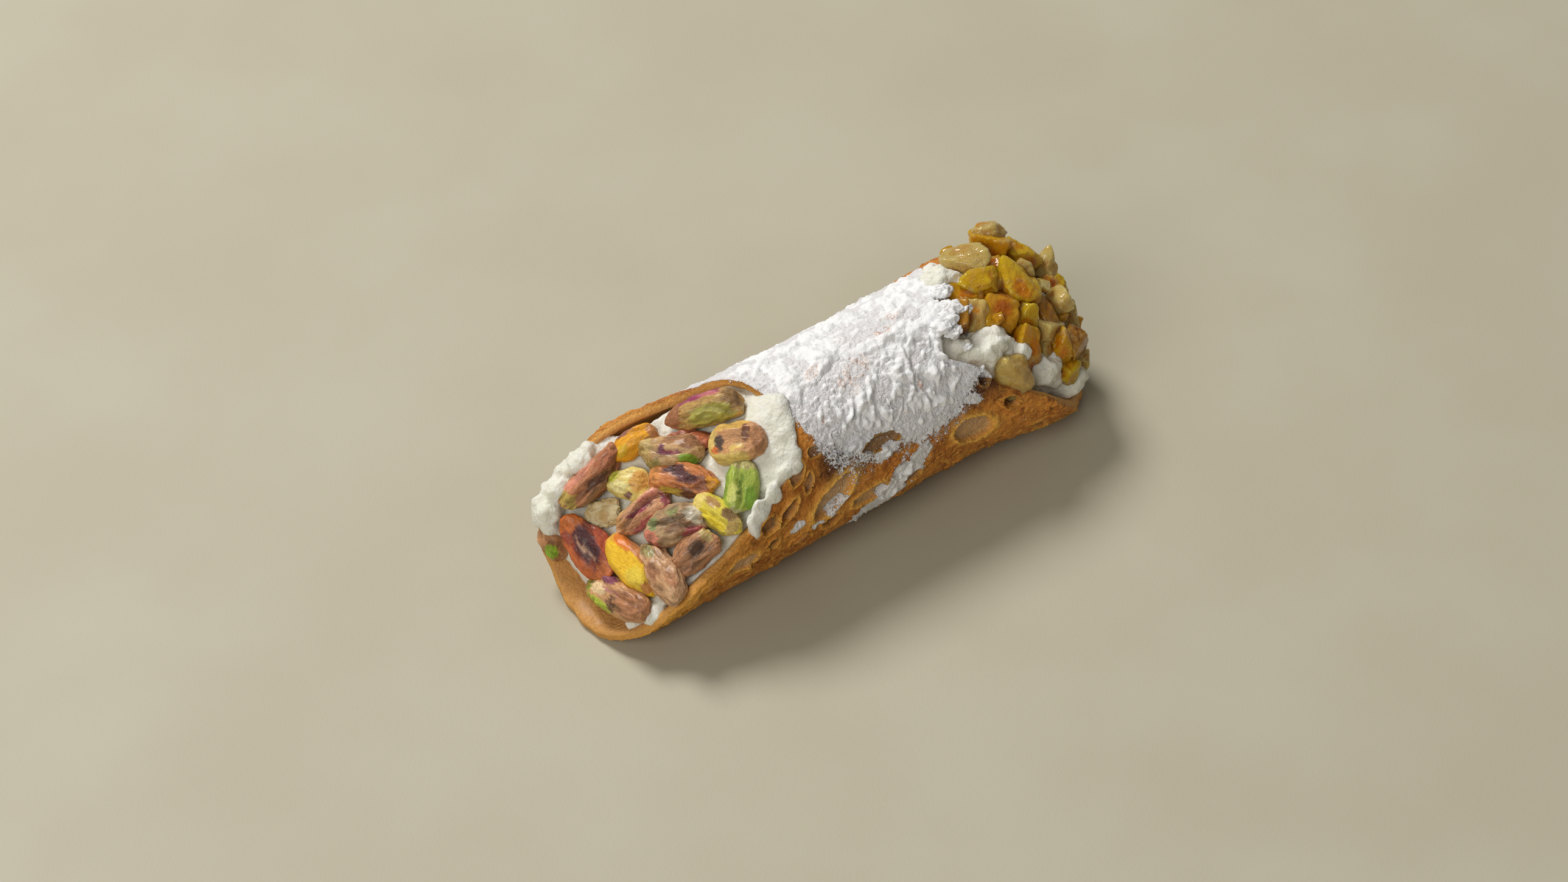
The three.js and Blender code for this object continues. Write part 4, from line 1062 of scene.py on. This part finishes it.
def strew(name, host, tree, material, **values):
    """Copies a surface, runs the tree on it and keeps only what it strewed."""
    ground = host.copy()
    ground.data = host.data.copy()
    bpy.context.scene.collection.objects.link(ground)
    ground.parent = None
    modifier = ground.modifiers.new("strew", "NODES")
    modifier.node_group = tree
    sockets = {item.name: item.identifier for item in tree.interface.items_tree if item.in_out == "INPUT"}
    for label, value in values.items():
        modifier[sockets[label.replace("_", " ")]] = value
    return baked(ground, name, material)


# ------------------------------------------------------------------ the cream
def closed_skin(rings):
    """A closed mesh over rings of points, with a pole before the first and after the last."""
    rows, columns = rings.shape[:2]
    points = np.concatenate([rings.reshape(-1, 3), [rings[0].mean(0), rings[-1].mean(0)]])
    quads = grid_faces(rows, columns, close_columns=True)
    c = np.arange(columns)
    c1 = (c + 1) % columns
    last = (rows - 1) * columns
    first_cap = np.stack([c1, c, np.full(columns, rows * columns)], 1)
    last_cap = np.stack([last + c, last + c1, np.full(columns, rows * columns + 1)], 1)
    faces = [list(face) for face in (*quads, *first_cap, *last_cap)]
    triangles = np.concatenate([quads[:, :3], quads[:, [0, 2, 3]], first_cap, last_cap])
    a, b, d = (points[triangles[:, k]] for k in (0, 1, 2))
    if (a * np.cross(b, d)).sum() < 0:
        faces = [face[::-1] for face in faces]
    return points, faces


def cream_rings():
    """The filling, from the front face over the rim's laps and down the tube to the back face."""
    angle = np.arange(0, 360, 1.5)
    middle = TUBE_RADIUS - WALL + 0.5

    def lumps(x):
        return 0.5 * layers(tube_point(x, 16 + 0 * angle, angle) / 4, 3, 51)

    lap = smooth(around(FRONT_LAP, angle), 0.05, 0.9)
    ragged = 1.5 * layers(tube_point(30, 21 + 0 * angle, angle) / 2.6, 3, 55) * lap
    over = tube_radius(front_rim(angle), angle) + LAP_THICKNESS + lumps(3) - middle
    edge = middle + lap * over
    floor = FLOOR_WALL / 2
    rings = []
    for share in np.linspace(0.02, 1, 26):
        round_off = 1.6 * lap * smooth(share, 0.86, 1.0) ** 2
        x = front_x(share, angle) + round_off
        rings.append(tube_point(x, share * edge, angle, floor))
    lap_end = np.maximum(front_x(1, angle), front_rim(angle)) + LAP_REACH + lumps(7) + ragged
    rings.append(tube_point(lap_end - 0.4, edge - 0.25 * lap, angle, floor))
    rings.append(tube_point(lap_end, edge - 0.9 * lap, angle, floor))
    rings.append(tube_point(lap_end, middle + 0 * angle, angle, floor))
    for share in np.linspace(1, 0.02, 20):
        rings.append(tube_point(back_x(share, angle), share * middle, angle, floor))
    return np.array(rings)


def ball(centre, size, basis=None, around_count=40, seed=None, roughness=0.3):
    """An ellipsoid, made lumpy where it has a seed."""
    theta = np.linspace(0.04, np.pi - 0.04, around_count // 2)[:, None]
    turn = np.linspace(0, 2 * np.pi, around_count, endpoint=False)[None, :]
    ring = np.sin(theta)
    unit = np.stack([ring * np.cos(turn), ring * np.sin(turn), np.cos(theta) + 0 * turn], -1)
    if seed is not None:
        unit = unit * (0.95 + roughness * layers(1.6 * unit + seed, 3, seed))[..., None]
    shape = unit * np.array(size)
    if basis is not None:
        shape = shape @ np.array(basis)
    return closed_skin(shape + np.array(centre))


def joined(parts):
    """One list of points and one of faces from several."""
    points, faces, base = [], [], 0
    for part_points, part_faces in parts:
        points.append(part_points)
        faces += [[base + i for i in face] for face in part_faces]
        base += len(part_points)
    return np.concatenate(points), faces


def basis_from(along, out):
    """Unit axes as rows: along, across and out."""
    z = np.array(out, float) / np.linalg.norm(out)
    y = np.cross(z, along)
    y /= np.linalg.norm(y)
    return np.array([np.cross(y, z), y, z])


def cream_object(settings, material):
    """The filling, the heap and every lump merged into one skin, then roughened."""
    parts = [closed_skin(cream_rings())]
    along = (HEAP_FACING[2], 0, -HEAP_FACING[0])
    centre = np.array(HEAP_CENTRE) + (0, 0, AXIS_HEIGHT)
    parts.append(ball(centre, HEAP_SIZE, basis_from(along, HEAP_FACING), around_count=72))
    for i, (x, y, up, radius) in enumerate(DOLLOPS):
        parts.append(ball((x, y, AXIS_HEIGHT + up), (1.2 * radius, radius, radius), seed=i + 1))
    for i, (x, angle, out, length, width, thick) in enumerate(TONGUES):
        centre = tube_point(x, out, angle)
        basis = basis_from((1, 0, 0), tube_point(0, 1, angle, NO_FLOOR) - (0, 0, AXIS_HEIGHT))
        parts.append(ball(centre, (length / 2, width / 2, thick / 2), basis, seed=i + 20))
    for i, (y, up, radius, lift) in enumerate(FRONT_CURDS):
        parts.append(ball(on_front(y, up) - (lift, 0, 0), (1.2 * radius, radius, radius), seed=i + 70))
    for i, (x, angle, out, size) in enumerate(PEAKS):
        centre = tube_point(x, out - size / 2, angle)
        parts.append(ball(centre, (0.8 * size, 0.7 * size, 0.7 * size), seed=i + 40))
    heap = add_mesh("cream_parts", *joined(parts), material)
    remesh = heap.modifiers.new("one_skin", "REMESH")
    remesh.mode = "VOXEL"
    remesh.voxel_size = CREAM_STEP * MM
    remesh.use_smooth_shade = True
    soften = heap.modifiers.new("soften", "SMOOTH")
    soften.factor = 0.5
    soften.iterations = 4
    cream = baked(heap, "ricotta_cream", material)
    spots, normals = read_mesh(cream.data)
    back = smooth(spots[:, 0], 20, 36)
    folds = 1 - 2.2 * np.abs(noise(spots / (5.5, 4, 4) + 0.4 * noise(spots / 3, 60)[:, None], 61))
    curds = 1 - 1.3 * cells(spots / 1.5 + 0.4 * noise(spots, 65)[:, None], 66)[0]
    waves = 0.24 * layers(spots / 2.4, 3, 62) + 0.4 * layers(spots / 6, 2, 63) * (1 - back)
    depth = waves + 0.22 * curds - 0.1
    depth += back * (0.8 * folds - 0.25) + 0.06 * noise(spots / 0.8, 64)
    spots += normals * (depth * settings.unevenness)[:, None]
    spots[:, 2] = np.maximum(spots[:, 2], CREAM_LOWEST)
    cream.data.vertices.foreach_set("co", (spots * MM).astype(np.float32).ravel())
    cream.data.update()
    return cream


# ------------------------------------------------------------------ the toppings
def on_front(y, up):
    """The place on the front cream at a distance across and over the axis."""
    share = math.hypot(y, up) / (TUBE_RADIUS - WALL / 2)
    x = front_x(share, math.degrees(math.atan2(-y, up)))
    return np.array([float(x), y, AXIS_HEIGHT + up])


def lie_on_front(y1, up1, y2, up2, lift):
    """Length, middle and axes of a piece that lies on the front cream between two places."""
    a, b = on_front(y1, up1), on_front(y2, up2)
    y, up = (y1 + y2) / 2, (up1 + up2) / 2
    middle = on_front(y, up)
    out = np.cross(on_front(y + 1, up) - middle, on_front(y, up - 1) - middle)
    if out[0] > 0:
        out = -out
    centre = (a + b) / 4 + middle / 2 - (lift, 0, 0)
    return np.linalg.norm(b - a), centre, basis_from(b - a, out)


def kernel_points(size, form, seed, rows=76, columns=60):
    """A kernel along X: full ends, a flatter belly, a crease or a hollow, worn flats and dry wrinkles."""
    taper, bend, deep, wide, place, wrinkled = form
    x = np.sin(np.linspace(-np.pi / 2 + 0.03, np.pi / 2 - 0.03, rows))[:, None]
    turn = np.linspace(0, 2 * np.pi, columns, endpoint=False)[None, :]
    radius = (1.001 - np.abs(x) ** 2.7) ** 0.47 * (1 + taper * x - 0.08 * x * x) * (1 - 0.25 * abs(taper))
    unit = np.stack([x + 0 * turn, radius * np.cos(turn), radius * np.sin(turn)], -1)
    draw = np.random.default_rng(300 + seed)
    flats = draw.normal(size=(9, 3)) * (0.5, 1, 1)
    flats /= np.linalg.norm(flats, axis=1, keepdims=True)
    facing = np.maximum(unit @ flats.T, 0.02) / draw.uniform(0.74, 0.96, 9)
    unit /= np.maximum(1, (facing**10).sum(-1) ** (1 / 10))[..., None] ** 0.9
    unit *= (1.1 + 0.13 * noise(1.5 * unit + 5 * seed, seed))[..., None]
    high, side, along = unit[..., 2], unit[..., 1], unit[..., 0]
    path = place + 0.22 * np.sin(2.6 * along + seed)
    hollow = deep * bell(side, path, wide) * (1 - along**4) * smooth(high, 0, 0.5)
    unit[..., 2] = np.where(high < 0, 0.85 * high, high) - hollow * 1.3
    unit[..., 1] += bend * (1 - along**2) - bend / 2
    lie = unit * np.array(size) / 2
    outward = unit / np.linalg.norm(unit, axis=-1, keepdims=True)
    ribs = 1 - 2 * np.abs(noise(lie / (4.5, 1.2, 1.2) + 9 * seed, 2))
    fine = 1 - 2 * np.abs(noise(lie / (2.6, 0.7, 0.7) + 5 * seed, 12))
    dents = layers(lie / (2.2, 1.5, 1.5) + 3 * seed, 2, 4)
    fade = 0.35 + 0.65 * (1 - np.abs(x) ** 6)
    rough = wrinkled * (0.34 * ribs + 0.15 * fine) + 0.26 * dents
    # It returns the points, the unit shape and how deep each place lies in a wrinkle or the crease, which
    # darkens it as painted shade.
    return lie + outward * (rough * fade)[..., None], unit, wrinkled * (0.6 - 0.6 * ribs) + 2 * hollow


def patched(spots, skin, seed, wrinkled):
    """Colours of a kernel's skin from its base and its ragged patches."""
    colour = np.tile(linear(skin[0]), (len(spots), 1))
    streaks = spots * (2.2, 5, 5) + 8 * seed
    wobble = np.stack([layers(streaks + 30 * k, 4, 80 + k) for k in (0, 1)], -1) * (0.16, 0.17)
    along, across = spots[:, 0] + wobble[:, 0], spots[:, 1] + wobble[:, 1]
    for at, off, half_length, half_width, shade in skin[1:]:
        away = np.hypot((along - at) / half_length, (across - off) / half_width)
        share = smooth(1.12 - away, 0, 0.26) * smooth(spots[:, 2], -0.5, 0.1)
        colour += (linear(shade) - colour) * (0.95 * share)[:, None]
    mottle = layers(spots * (3.5, 8, 8) + 3 * seed, 3, 90)
    return np.clip(colour * (1 + 0.3 * min(1, wrinkled) * mottle)[:, None], 0, 1)


def kernel_tint(colour, crease_shade):
    """Skin colours made lighter where they are dark, and darkened down in creases and wrinkles as painted
    shade.
    """
    gain = (2.3 - 1.1 * colour.max(1, keepdims=True)) * (1 - 0.55 * np.clip(crease_shade, 0, 1))
    return colour * (gain * KERNEL_GAIN)


def dice_points(size, seed, detail):
    """A chunk of peel cut by uneven flats, and how near an edge each of its places is."""
    draw = np.random.default_rng(500 + seed)
    unit = detail / np.linalg.norm(detail, axis=1, keepdims=True)
    flats = np.concatenate([np.eye(3), -np.eye(3), draw.normal(size=(7, 3))])
    flats[:6] += draw.normal(scale=0.28, size=(6, 3))
    flats /= np.linalg.norm(flats, axis=1, keepdims=True)
    reach = np.concatenate([draw.uniform(0.8, 0.98, 6), draw.uniform(0.84, 1.08, 7)])
    facing = np.maximum(unit @ flats.T, 0.02) / reach
    radius = (facing**14).sum(1) ** (-1 / 14)
    edge = smooth((facing > 0.86 * facing.max(1, keepdims=True)).sum(1), 0.9, 2.6)
    edge = np.maximum(edge, smooth(radius, 0.92, 1.08))
    folds = 0.5 - np.abs(noise(5 * unit + seed, 8))
    radius *= 1.06 + 0.1 * layers(2.0 * unit + seed, 4, seed) + 0.05 * folds
    radius += 0.045 * layers(7 * unit + 2 * seed, 3, 40)
    dents = np.minimum(0, noise(1.6 * unit + 4 * seed, 7))
    return unit * (radius + 0.3 * dents)[:, None] * np.array(size) / 2 * 1.12, edge


def dice_placed(dice, seed, detail):
    """The points of a die of peel where it lies on the heap, and its colours from flesh to rind."""
    x, y, up, width, height, kind = dice
    draw = np.random.default_rng(900 + seed)
    depth = 0.8 * min(width, height) + 0.6
    lump, edge = dice_points((1.12 * width, 1.12 * height, depth), seed, detail)
    turn = Matrix.Rotation(math.radians(draw.uniform(-15, 15)), 3, "Z")
    turn = turn @ Matrix.Rotation(math.radians(draw.uniform(-12, 12)), 3, "X")
    basis = basis_from(PEEL_LIE, np.array((x, y, up)) - np.array(HEAP_CENTRE) + (5, 0, 0))
    placed = lump @ np.array(turn).T @ basis + (x, y, AXIS_HEIGHT + up)
    flesh, rind, glow = (linear(c) for c in PEEL_COLOURS[kind])
    side = draw.normal(size=3) * (1, 1, 0.6)
    side /= np.linalg.norm(side)
    half = np.array((width, height, depth)) / 2
    share = smooth((lump / half) @ side + 0.5 * noise(lump / 2 + seed, 6), 0.1, 0.8)[:, None]
    tint = (flesh + (rind - flesh) * share) * draw.uniform(0.82, 1.1)
    tint *= PALE_GAIN if kind == PALE else PEEL_GAIN
    # Painted shade that darkens the underside of each die.
    underside_shade = smooth(-lump @ basis[:, 2], -1, 3)[:, None]
    # A painted glow of light through the thin edges of each die, and a little over all of it.
    tint = (tint + (glow - tint) * (0.12 + 0.55 * edge[:, None])) * (1 - 0.4 * underside_shade)
    glow = np.tile(glow * GLOW_GAIN, (len(placed), 1))
    return placed, {"tint": tint, "shade": tint * PEEL_SHADE, "glow": glow}


def ico(levels):
    """A sphere of nearly equal triangles."""
    t = (1 + 5**0.5) / 2
    points = [(-1, t, 0), (1, t, 0), (-1, -t, 0), (1, -t, 0), (0, -1, t), (0, 1, t),
              (0, -1, -t), (0, 1, -t), (t, 0, -1), (t, 0, 1), (-t, 0, -1), (-t, 0, 1)]
    faces = [(0, 11, 5), (0, 5, 1), (0, 1, 7), (0, 7, 10), (0, 10, 11), (1, 5, 9), (5, 11, 4), (11, 10, 2),
             (10, 7, 6), (7, 1, 8), (3, 9, 4), (3, 4, 2), (3, 2, 6), (3, 6, 8), (3, 8, 9), (4, 9, 5),
             (2, 4, 11), (6, 2, 10), (8, 6, 7), (9, 8, 1)]
    points = [np.array(p) / math.hypot(*p) for p in points]
    for _ in range(levels):
        middles = {}

        def middle(a, b):
            key = (min(a, b), max(a, b))
            if key not in middles:
                spot = points[a] + points[b]
                middles[key] = len(points)
                points.append(spot / np.linalg.norm(spot))
            return middles[key]

        split = []
        for a, b, c in faces:
            ab, bc, ca = middle(a, b), middle(b, c), middle(c, a)
            split += [(a, ab, ca), (b, bc, ab), (c, ca, bc), (ab, bc, ca)]
        faces = split
    return np.array(points), np.array(faces)


# ------------------------------------------------------------------ settings
def colour_property(name, description, default):
    """A colour of 0 to 255, as a setting."""
    return bpy.props.IntVectorProperty(
        name=name, description=description, size=3, min=0, max=255, default=default
    )


def number_property(name, description, default, most, **more):
    """A number from 0 to the most that is of use, as a setting."""
    return bpy.props.FloatProperty(
        name=name, description=description, default=default, min=0, max=most, **more
    )


class CrustSettings(bpy.types.PropertyGroup):
    relief: number_property("Relief", "How strong the folds and bubbles are", 1.0, 2)
    lip_height: number_property("Torn Lips", "Height of the thin lips round burst bubbles", 1.0, 2)
    golden: colour_property("Golden", "Lightest colour of the fried dough", (218, 142, 54))


class CreamSettings(bpy.types.PropertyGroup):
    unevenness: number_property("Unevenness", "How lumpy the cream is", 1.0, 2)
    colour: colour_property("Colour", "Colour of the ricotta", (246, 245, 234))


class SugarSettings(bpy.types.PropertyGroup):
    depth: number_property("Depth", "Depth of the sugar in millimetres", SUGAR_DEPTH, 3)
    grains: number_property("Grains", "Loose grains on each square millimetre", 7.0, 20)
    colour: colour_property("Colour", "Colour of the sugar", (253, 253, 254))


class PistachioSettings(bpy.types.PropertyGroup):
    scuffs: number_property("Scuffs", "How worn the papery skins are", 0.45, 1, subtype="FACTOR")


class PeelSettings(bpy.types.PropertyGroup):
    syrup: number_property("Syrup", "Gloss of the dried syrup", 0.5, 1, subtype="FACTOR")


class StageSettings(bpy.types.PropertyGroup):
    floor: colour_property("Floor", "Colour of the floor", (186, 181, 160))
    key: number_property("Key", "Power of the main light in watts", 46.0, 1000, unit="POWER")
    fill: number_property("Fill", "Power of the light from the camera's side", 25.0, 1000, unit="POWER")
    sky: number_property("Sky", "Strength of the light from all round", 0.15, 5)


GROUPS = {
    "pastry_crust": CrustSettings,
    "pastry_cream": CreamSettings,
    "pastry_sugar": SugarSettings,
    "pastry_kernels": PistachioSettings,
    "pastry_peel": PeelSettings,
    "pastry_stage": StageSettings,
}


# ------------------------------------------------------------------ operators
class PASTRY_OT_crust(bpy.types.Operator):
    """Build the fried crust with its bubbles, torn lips and dusting"""

    bl_idname = "pastry.crust"
    bl_label = "Crust"

    def execute(self, context):
        settings = context.scene.pastry_crust
        points, faces, masks = crust_mesh(settings)
        crust = add_mesh("fried_crust", points, faces, crust_finish(settings), **masks)
        settle(crust, SLOTS["shell"], "shell")
        return {"FINISHED"}


class PASTRY_OT_cream(bpy.types.Operator):
    """Build the ricotta cream that fills the tube and laps over its rims"""

    bl_idname = "pastry.cream"
    bl_label = "Cream"

    def execute(self, context):
        settings = context.scene.pastry_cream
        settle(cream_object(settings, cream_finish(settings)), SLOTS["cream"], "cream")
        return {"FINISHED"}


class PASTRY_OT_sugar(bpy.types.Operator):
    """Build the clumpy bed of icing sugar and strew loose grains round it"""

    bl_idname = "pastry.sugar"
    bl_label = "Icing Sugar"

    def execute(self, context):
        settings = context.scene.pastry_sugar
        finish = sugar_finish(settings)
        points, faces, veil = sugar_mesh(settings)
        settle(add_mesh("icing_bed", points, faces, finish, veil=veil), SUGAR_SLOT)
        spills = []
        for i, (x, y, z, radius) in enumerate(SUGAR_SPILLS):
            size = (1.2 * radius, radius, 0.7 * radius)
            spills.append(ball((x, y, z), size, around_count=44, seed=60 + i, roughness=0.5))
        settle(add_mesh("icing_spills", *joined(spills), finish), SUGAR_SLOT)
        tree = grain_tree("strewn_grains", finish)
        crust = bpy.data.objects["fried_crust"]
        grains = settings.grains / MM**2
        for name, (smallest, largest), thick, seed in (
            ("icing_grains_on_crust", GRAIN_SIZES, grains, 3),
            ("icing_lumps", LUMP_SIZES, grains * LUMP_SHARE, 5),
        ):
            strewn = strew(name, crust, tree, finish, Where="bare", Per_Square_Metre=thick,
                           Smallest=smallest, Largest=largest, Roundness=1, Seed=seed)
            settle(strewn, SUGAR_SLOT)
        return {"FINISHED"}


class PASTRY_OT_kernels(bpy.types.Operator):
    """Build the pistachio kernels that are pressed into the front cream"""

    bl_idname = "pastry.kernels"
    bl_label = "Pistachios"

    def execute(self, context):
        finish = kernel_finish(context.scene.pastry_kernels)
        for seed, (name, (*ends, width, thickness, lift)) in enumerate(KERNELS.items(), 1):
            length, centre, basis = lie_on_front(*ends, lift)
            size = (length, width, thickness)
            shape, spots, crease_shade = kernel_points(size, FORMS[name], seed)
            points, faces = closed_skin(shape @ basis + centre)
            spots = np.concatenate([spots.reshape(-1, 3), [(-1, 0, 0), (1, 0, 0)]])
            crease_shade = np.concatenate([crease_shade.ravel(), [0, 0]])[:, None]
            wrinkled = FORMS[name][5]
            tint = kernel_tint(patched(spots, SKINS[name], seed, wrinkled), crease_shade)
            worn = np.full(len(points), min(1, 0.25 + 0.75 * wrinkled))
            lie = spots * np.array(size) / 2 + 20 * seed
            kernel = add_mesh("pistachio_kernel_" + name, points, faces, finish, tint=tint,
                              shade=tint * KERNEL_SHADE, worn=worn, lie=lie)
            settle(kernel, SLOTS["pistachio_" + name], "pistachio_" + name)
        return {"FINISHED"}


class PASTRY_OT_peel(bpy.types.Operator):
    """Build the diced candied peel that is heaped on the back cream, and its crumbs"""

    bl_idname = "pastry.peel"
    bl_label = "Candied Peel"

    def execute(self, context):
        finish = peel_finish(context.scene.pastry_peel)
        ball_points, faces = ico(4)
        for i, dice in enumerate(PEEL, 1):
            placed, colours = dice_placed(dice, i, ball_points)
            piece = add_mesh(f"candied_peel_{i:02d}", placed, facing_out(placed, faces), finish, **colours)
            settle(piece, SLOTS[f"peel_{i:02d}"], f"peel_{i:02d}")
        small, faces = ico(3)
        crumbs, crumb_faces = [], []
        for i, (x, y, up, size) in enumerate(PEEL_CRUMBS):
            shape, _ = dice_points((size, 0.9 * size, 0.8 * size), 60 + i, small)
            crumbs.append(shape + (x, y, AXIS_HEIGHT + up))
            crumb_faces.append(facing_out(crumbs[i], faces) + i * len(small))
        crumbs, crumb_faces = np.concatenate(crumbs), np.concatenate(crumb_faces)
        flesh, rind, glow = (np.tile(linear(c), (len(crumbs), 1)) for c in PEEL_COLOURS[YELLOW])
        piece = add_mesh("candied_peel_crumbs", crumbs, crumb_faces, finish, tint=flesh * CRUMB_GAIN,
                         shade=rind, glow=glow)
        settle(piece, SLOTS["peel_01"])
        return {"FINISHED"}


class PASTRY_OT_flake(bpy.types.Operator):
    """Build the pale flake of pastry on the front cream"""

    bl_idname = "pastry.flake"
    bl_label = "Pastry Flake"

    def execute(self, context):
        *ends, width, thickness, lift = FLAKE
        length, centre, basis = lie_on_front(*ends, lift)
        points, faces = ico(4)
        ragged = 1 + 0.35 * layers(2.2 * points, 3, 12)
        shape = points * np.stack([ragged, ragged, 0.75 * ragged], -1)
        shape[:, 2] += 0.35 * points[:, 0] * points[:, 1] + 0.3 * layers(3 * points, 3, 13)
        placed = shape * (length / 2, width / 2, thickness / 2) @ basis + centre
        flake = add_mesh("pale_flake", placed, facing_out(placed, faces), flake_finish())
        settle(flake, SLOTS["pastry_flake"], "pastry_flake")
        return {"FINISHED"}


# ------------------------------------------------------------------ the stage
def area_light(name, power):
    """A round lamp that faces the tube."""
    direction, size, distance, colour = LAMPS[name]
    light = bpy.data.lights.new(name, "AREA")
    light.shape = "DISK"
    light.size = size
    light.energy = power
    light.color = colour
    lamp = bpy.data.objects.new(name, light)
    away = Vector(direction).normalized()
    lamp.location = away * distance + Vector((0, 0, LAMP_HEIGHT))
    lamp.rotation_euler = away.to_track_quat("Z", "Y").to_euler()
    bpy.context.scene.collection.objects.link(lamp)


def camera_object():
    """The camera, turned and shifted so that its aim falls on its pixel of the view."""
    azimuth, elevation, roll = (math.radians(a) for a in (VIEW_AZIMUTH, VIEW_ELEVATION, VIEW_ROLL))
    flat = math.cos(elevation)
    back = Vector((math.sin(azimuth) * flat, -math.cos(azimuth) * flat, math.sin(elevation)))
    level = Vector((math.cos(azimuth), math.sin(azimuth), 0))
    upright = back.cross(level)
    right = level * math.cos(roll) - upright * math.sin(roll)
    upward = level * math.sin(roll) + upright * math.cos(roll)
    focal = LENS / SENSOR * PICTURE[0]
    across = (AIM_PIXEL[0] - PICTURE[0] / 2) / focal
    down = (AIM_PIXEL[1] - PICTURE[1] / 2) / focal
    place = Vector(VIEW_AIM) + VIEW_DISTANCE * (back - across * right + down * upward)
    camera = bpy.data.cameras.new("camera")
    camera.lens = LENS
    camera.sensor_width = SENSOR
    camera.clip_start, camera.clip_end = CLIP
    eye = bpy.data.objects.new("camera", camera)
    axes = Matrix((right, upward, back)).transposed().to_4x4()
    eye.matrix_world = Matrix.Translation(place * MM) @ axes
    bpy.context.scene.collection.objects.link(eye)
    return eye


class PASTRY_OT_stage(bpy.types.Operator):
    """Set up the floor, the soft studio light and the camera"""

    bl_idname = "pastry.stage"
    bl_label = "Stage"

    def execute(self, context):
        settings = context.scene.pastry_stage
        corners = np.array([(-1, -1, 0), (1, -1, 0), (1, 1, 0), (-1, 1, 0)], float) * FLOOR_REACH
        floor = add_mesh("floor", corners, np.array([[0, 1, 2, 3]]), floor_finish(settings))
        world = bpy.data.worlds.new("studio")
        world.use_nodes = True
        background = world.node_tree.nodes["Background"]
        background.inputs["Color"].default_value = SKY
        background.inputs["Strength"].default_value = settings.sky
        context.scene.world = world
        area_light("key", settings.key)
        area_light("fill", settings.fill)
        context.scene.view_settings.view_transform = "Standard"
        context.scene.camera = camera_object()
        return {"FINISHED"}


STEPS = (PASTRY_OT_stage, PASTRY_OT_crust, PASTRY_OT_cream, PASTRY_OT_sugar, PASTRY_OT_kernels,
         PASTRY_OT_peel, PASTRY_OT_flake)


class PASTRY_PT_panel(bpy.types.Panel):
    """Lists the steps and their settings"""

    bl_idname = "PASTRY_PT_panel"
    bl_label = "Cannolo"
    bl_space_type = "VIEW_3D"
    bl_region_type = "UI"
    bl_category = "Cannolo"

    def draw(self, context):
        for step in STEPS:
            self.layout.operator(step.bl_idname)
        for name, group in GROUPS.items():
            box = self.layout.box()
            for key in group.__annotations__:
                box.prop(getattr(context.scene, name), key)


CLASSES = (*GROUPS.values(), *STEPS, PASTRY_PT_panel)


def register():
    for cls in CLASSES:
        bpy.utils.register_class(cls)
    for name, group in GROUPS.items():
        setattr(bpy.types.Scene, name, bpy.props.PointerProperty(type=group))


def unregister():
    for name in GROUPS:
        delattr(bpy.types.Scene, name)
    for cls in reversed(CLASSES):
        bpy.utils.unregister_class(cls)


def main():
    register()
    for step in STEPS:
        getattr(bpy.ops.pastry, step.bl_idname.split(".")[1])()


if __name__ == "__main__":
    main()
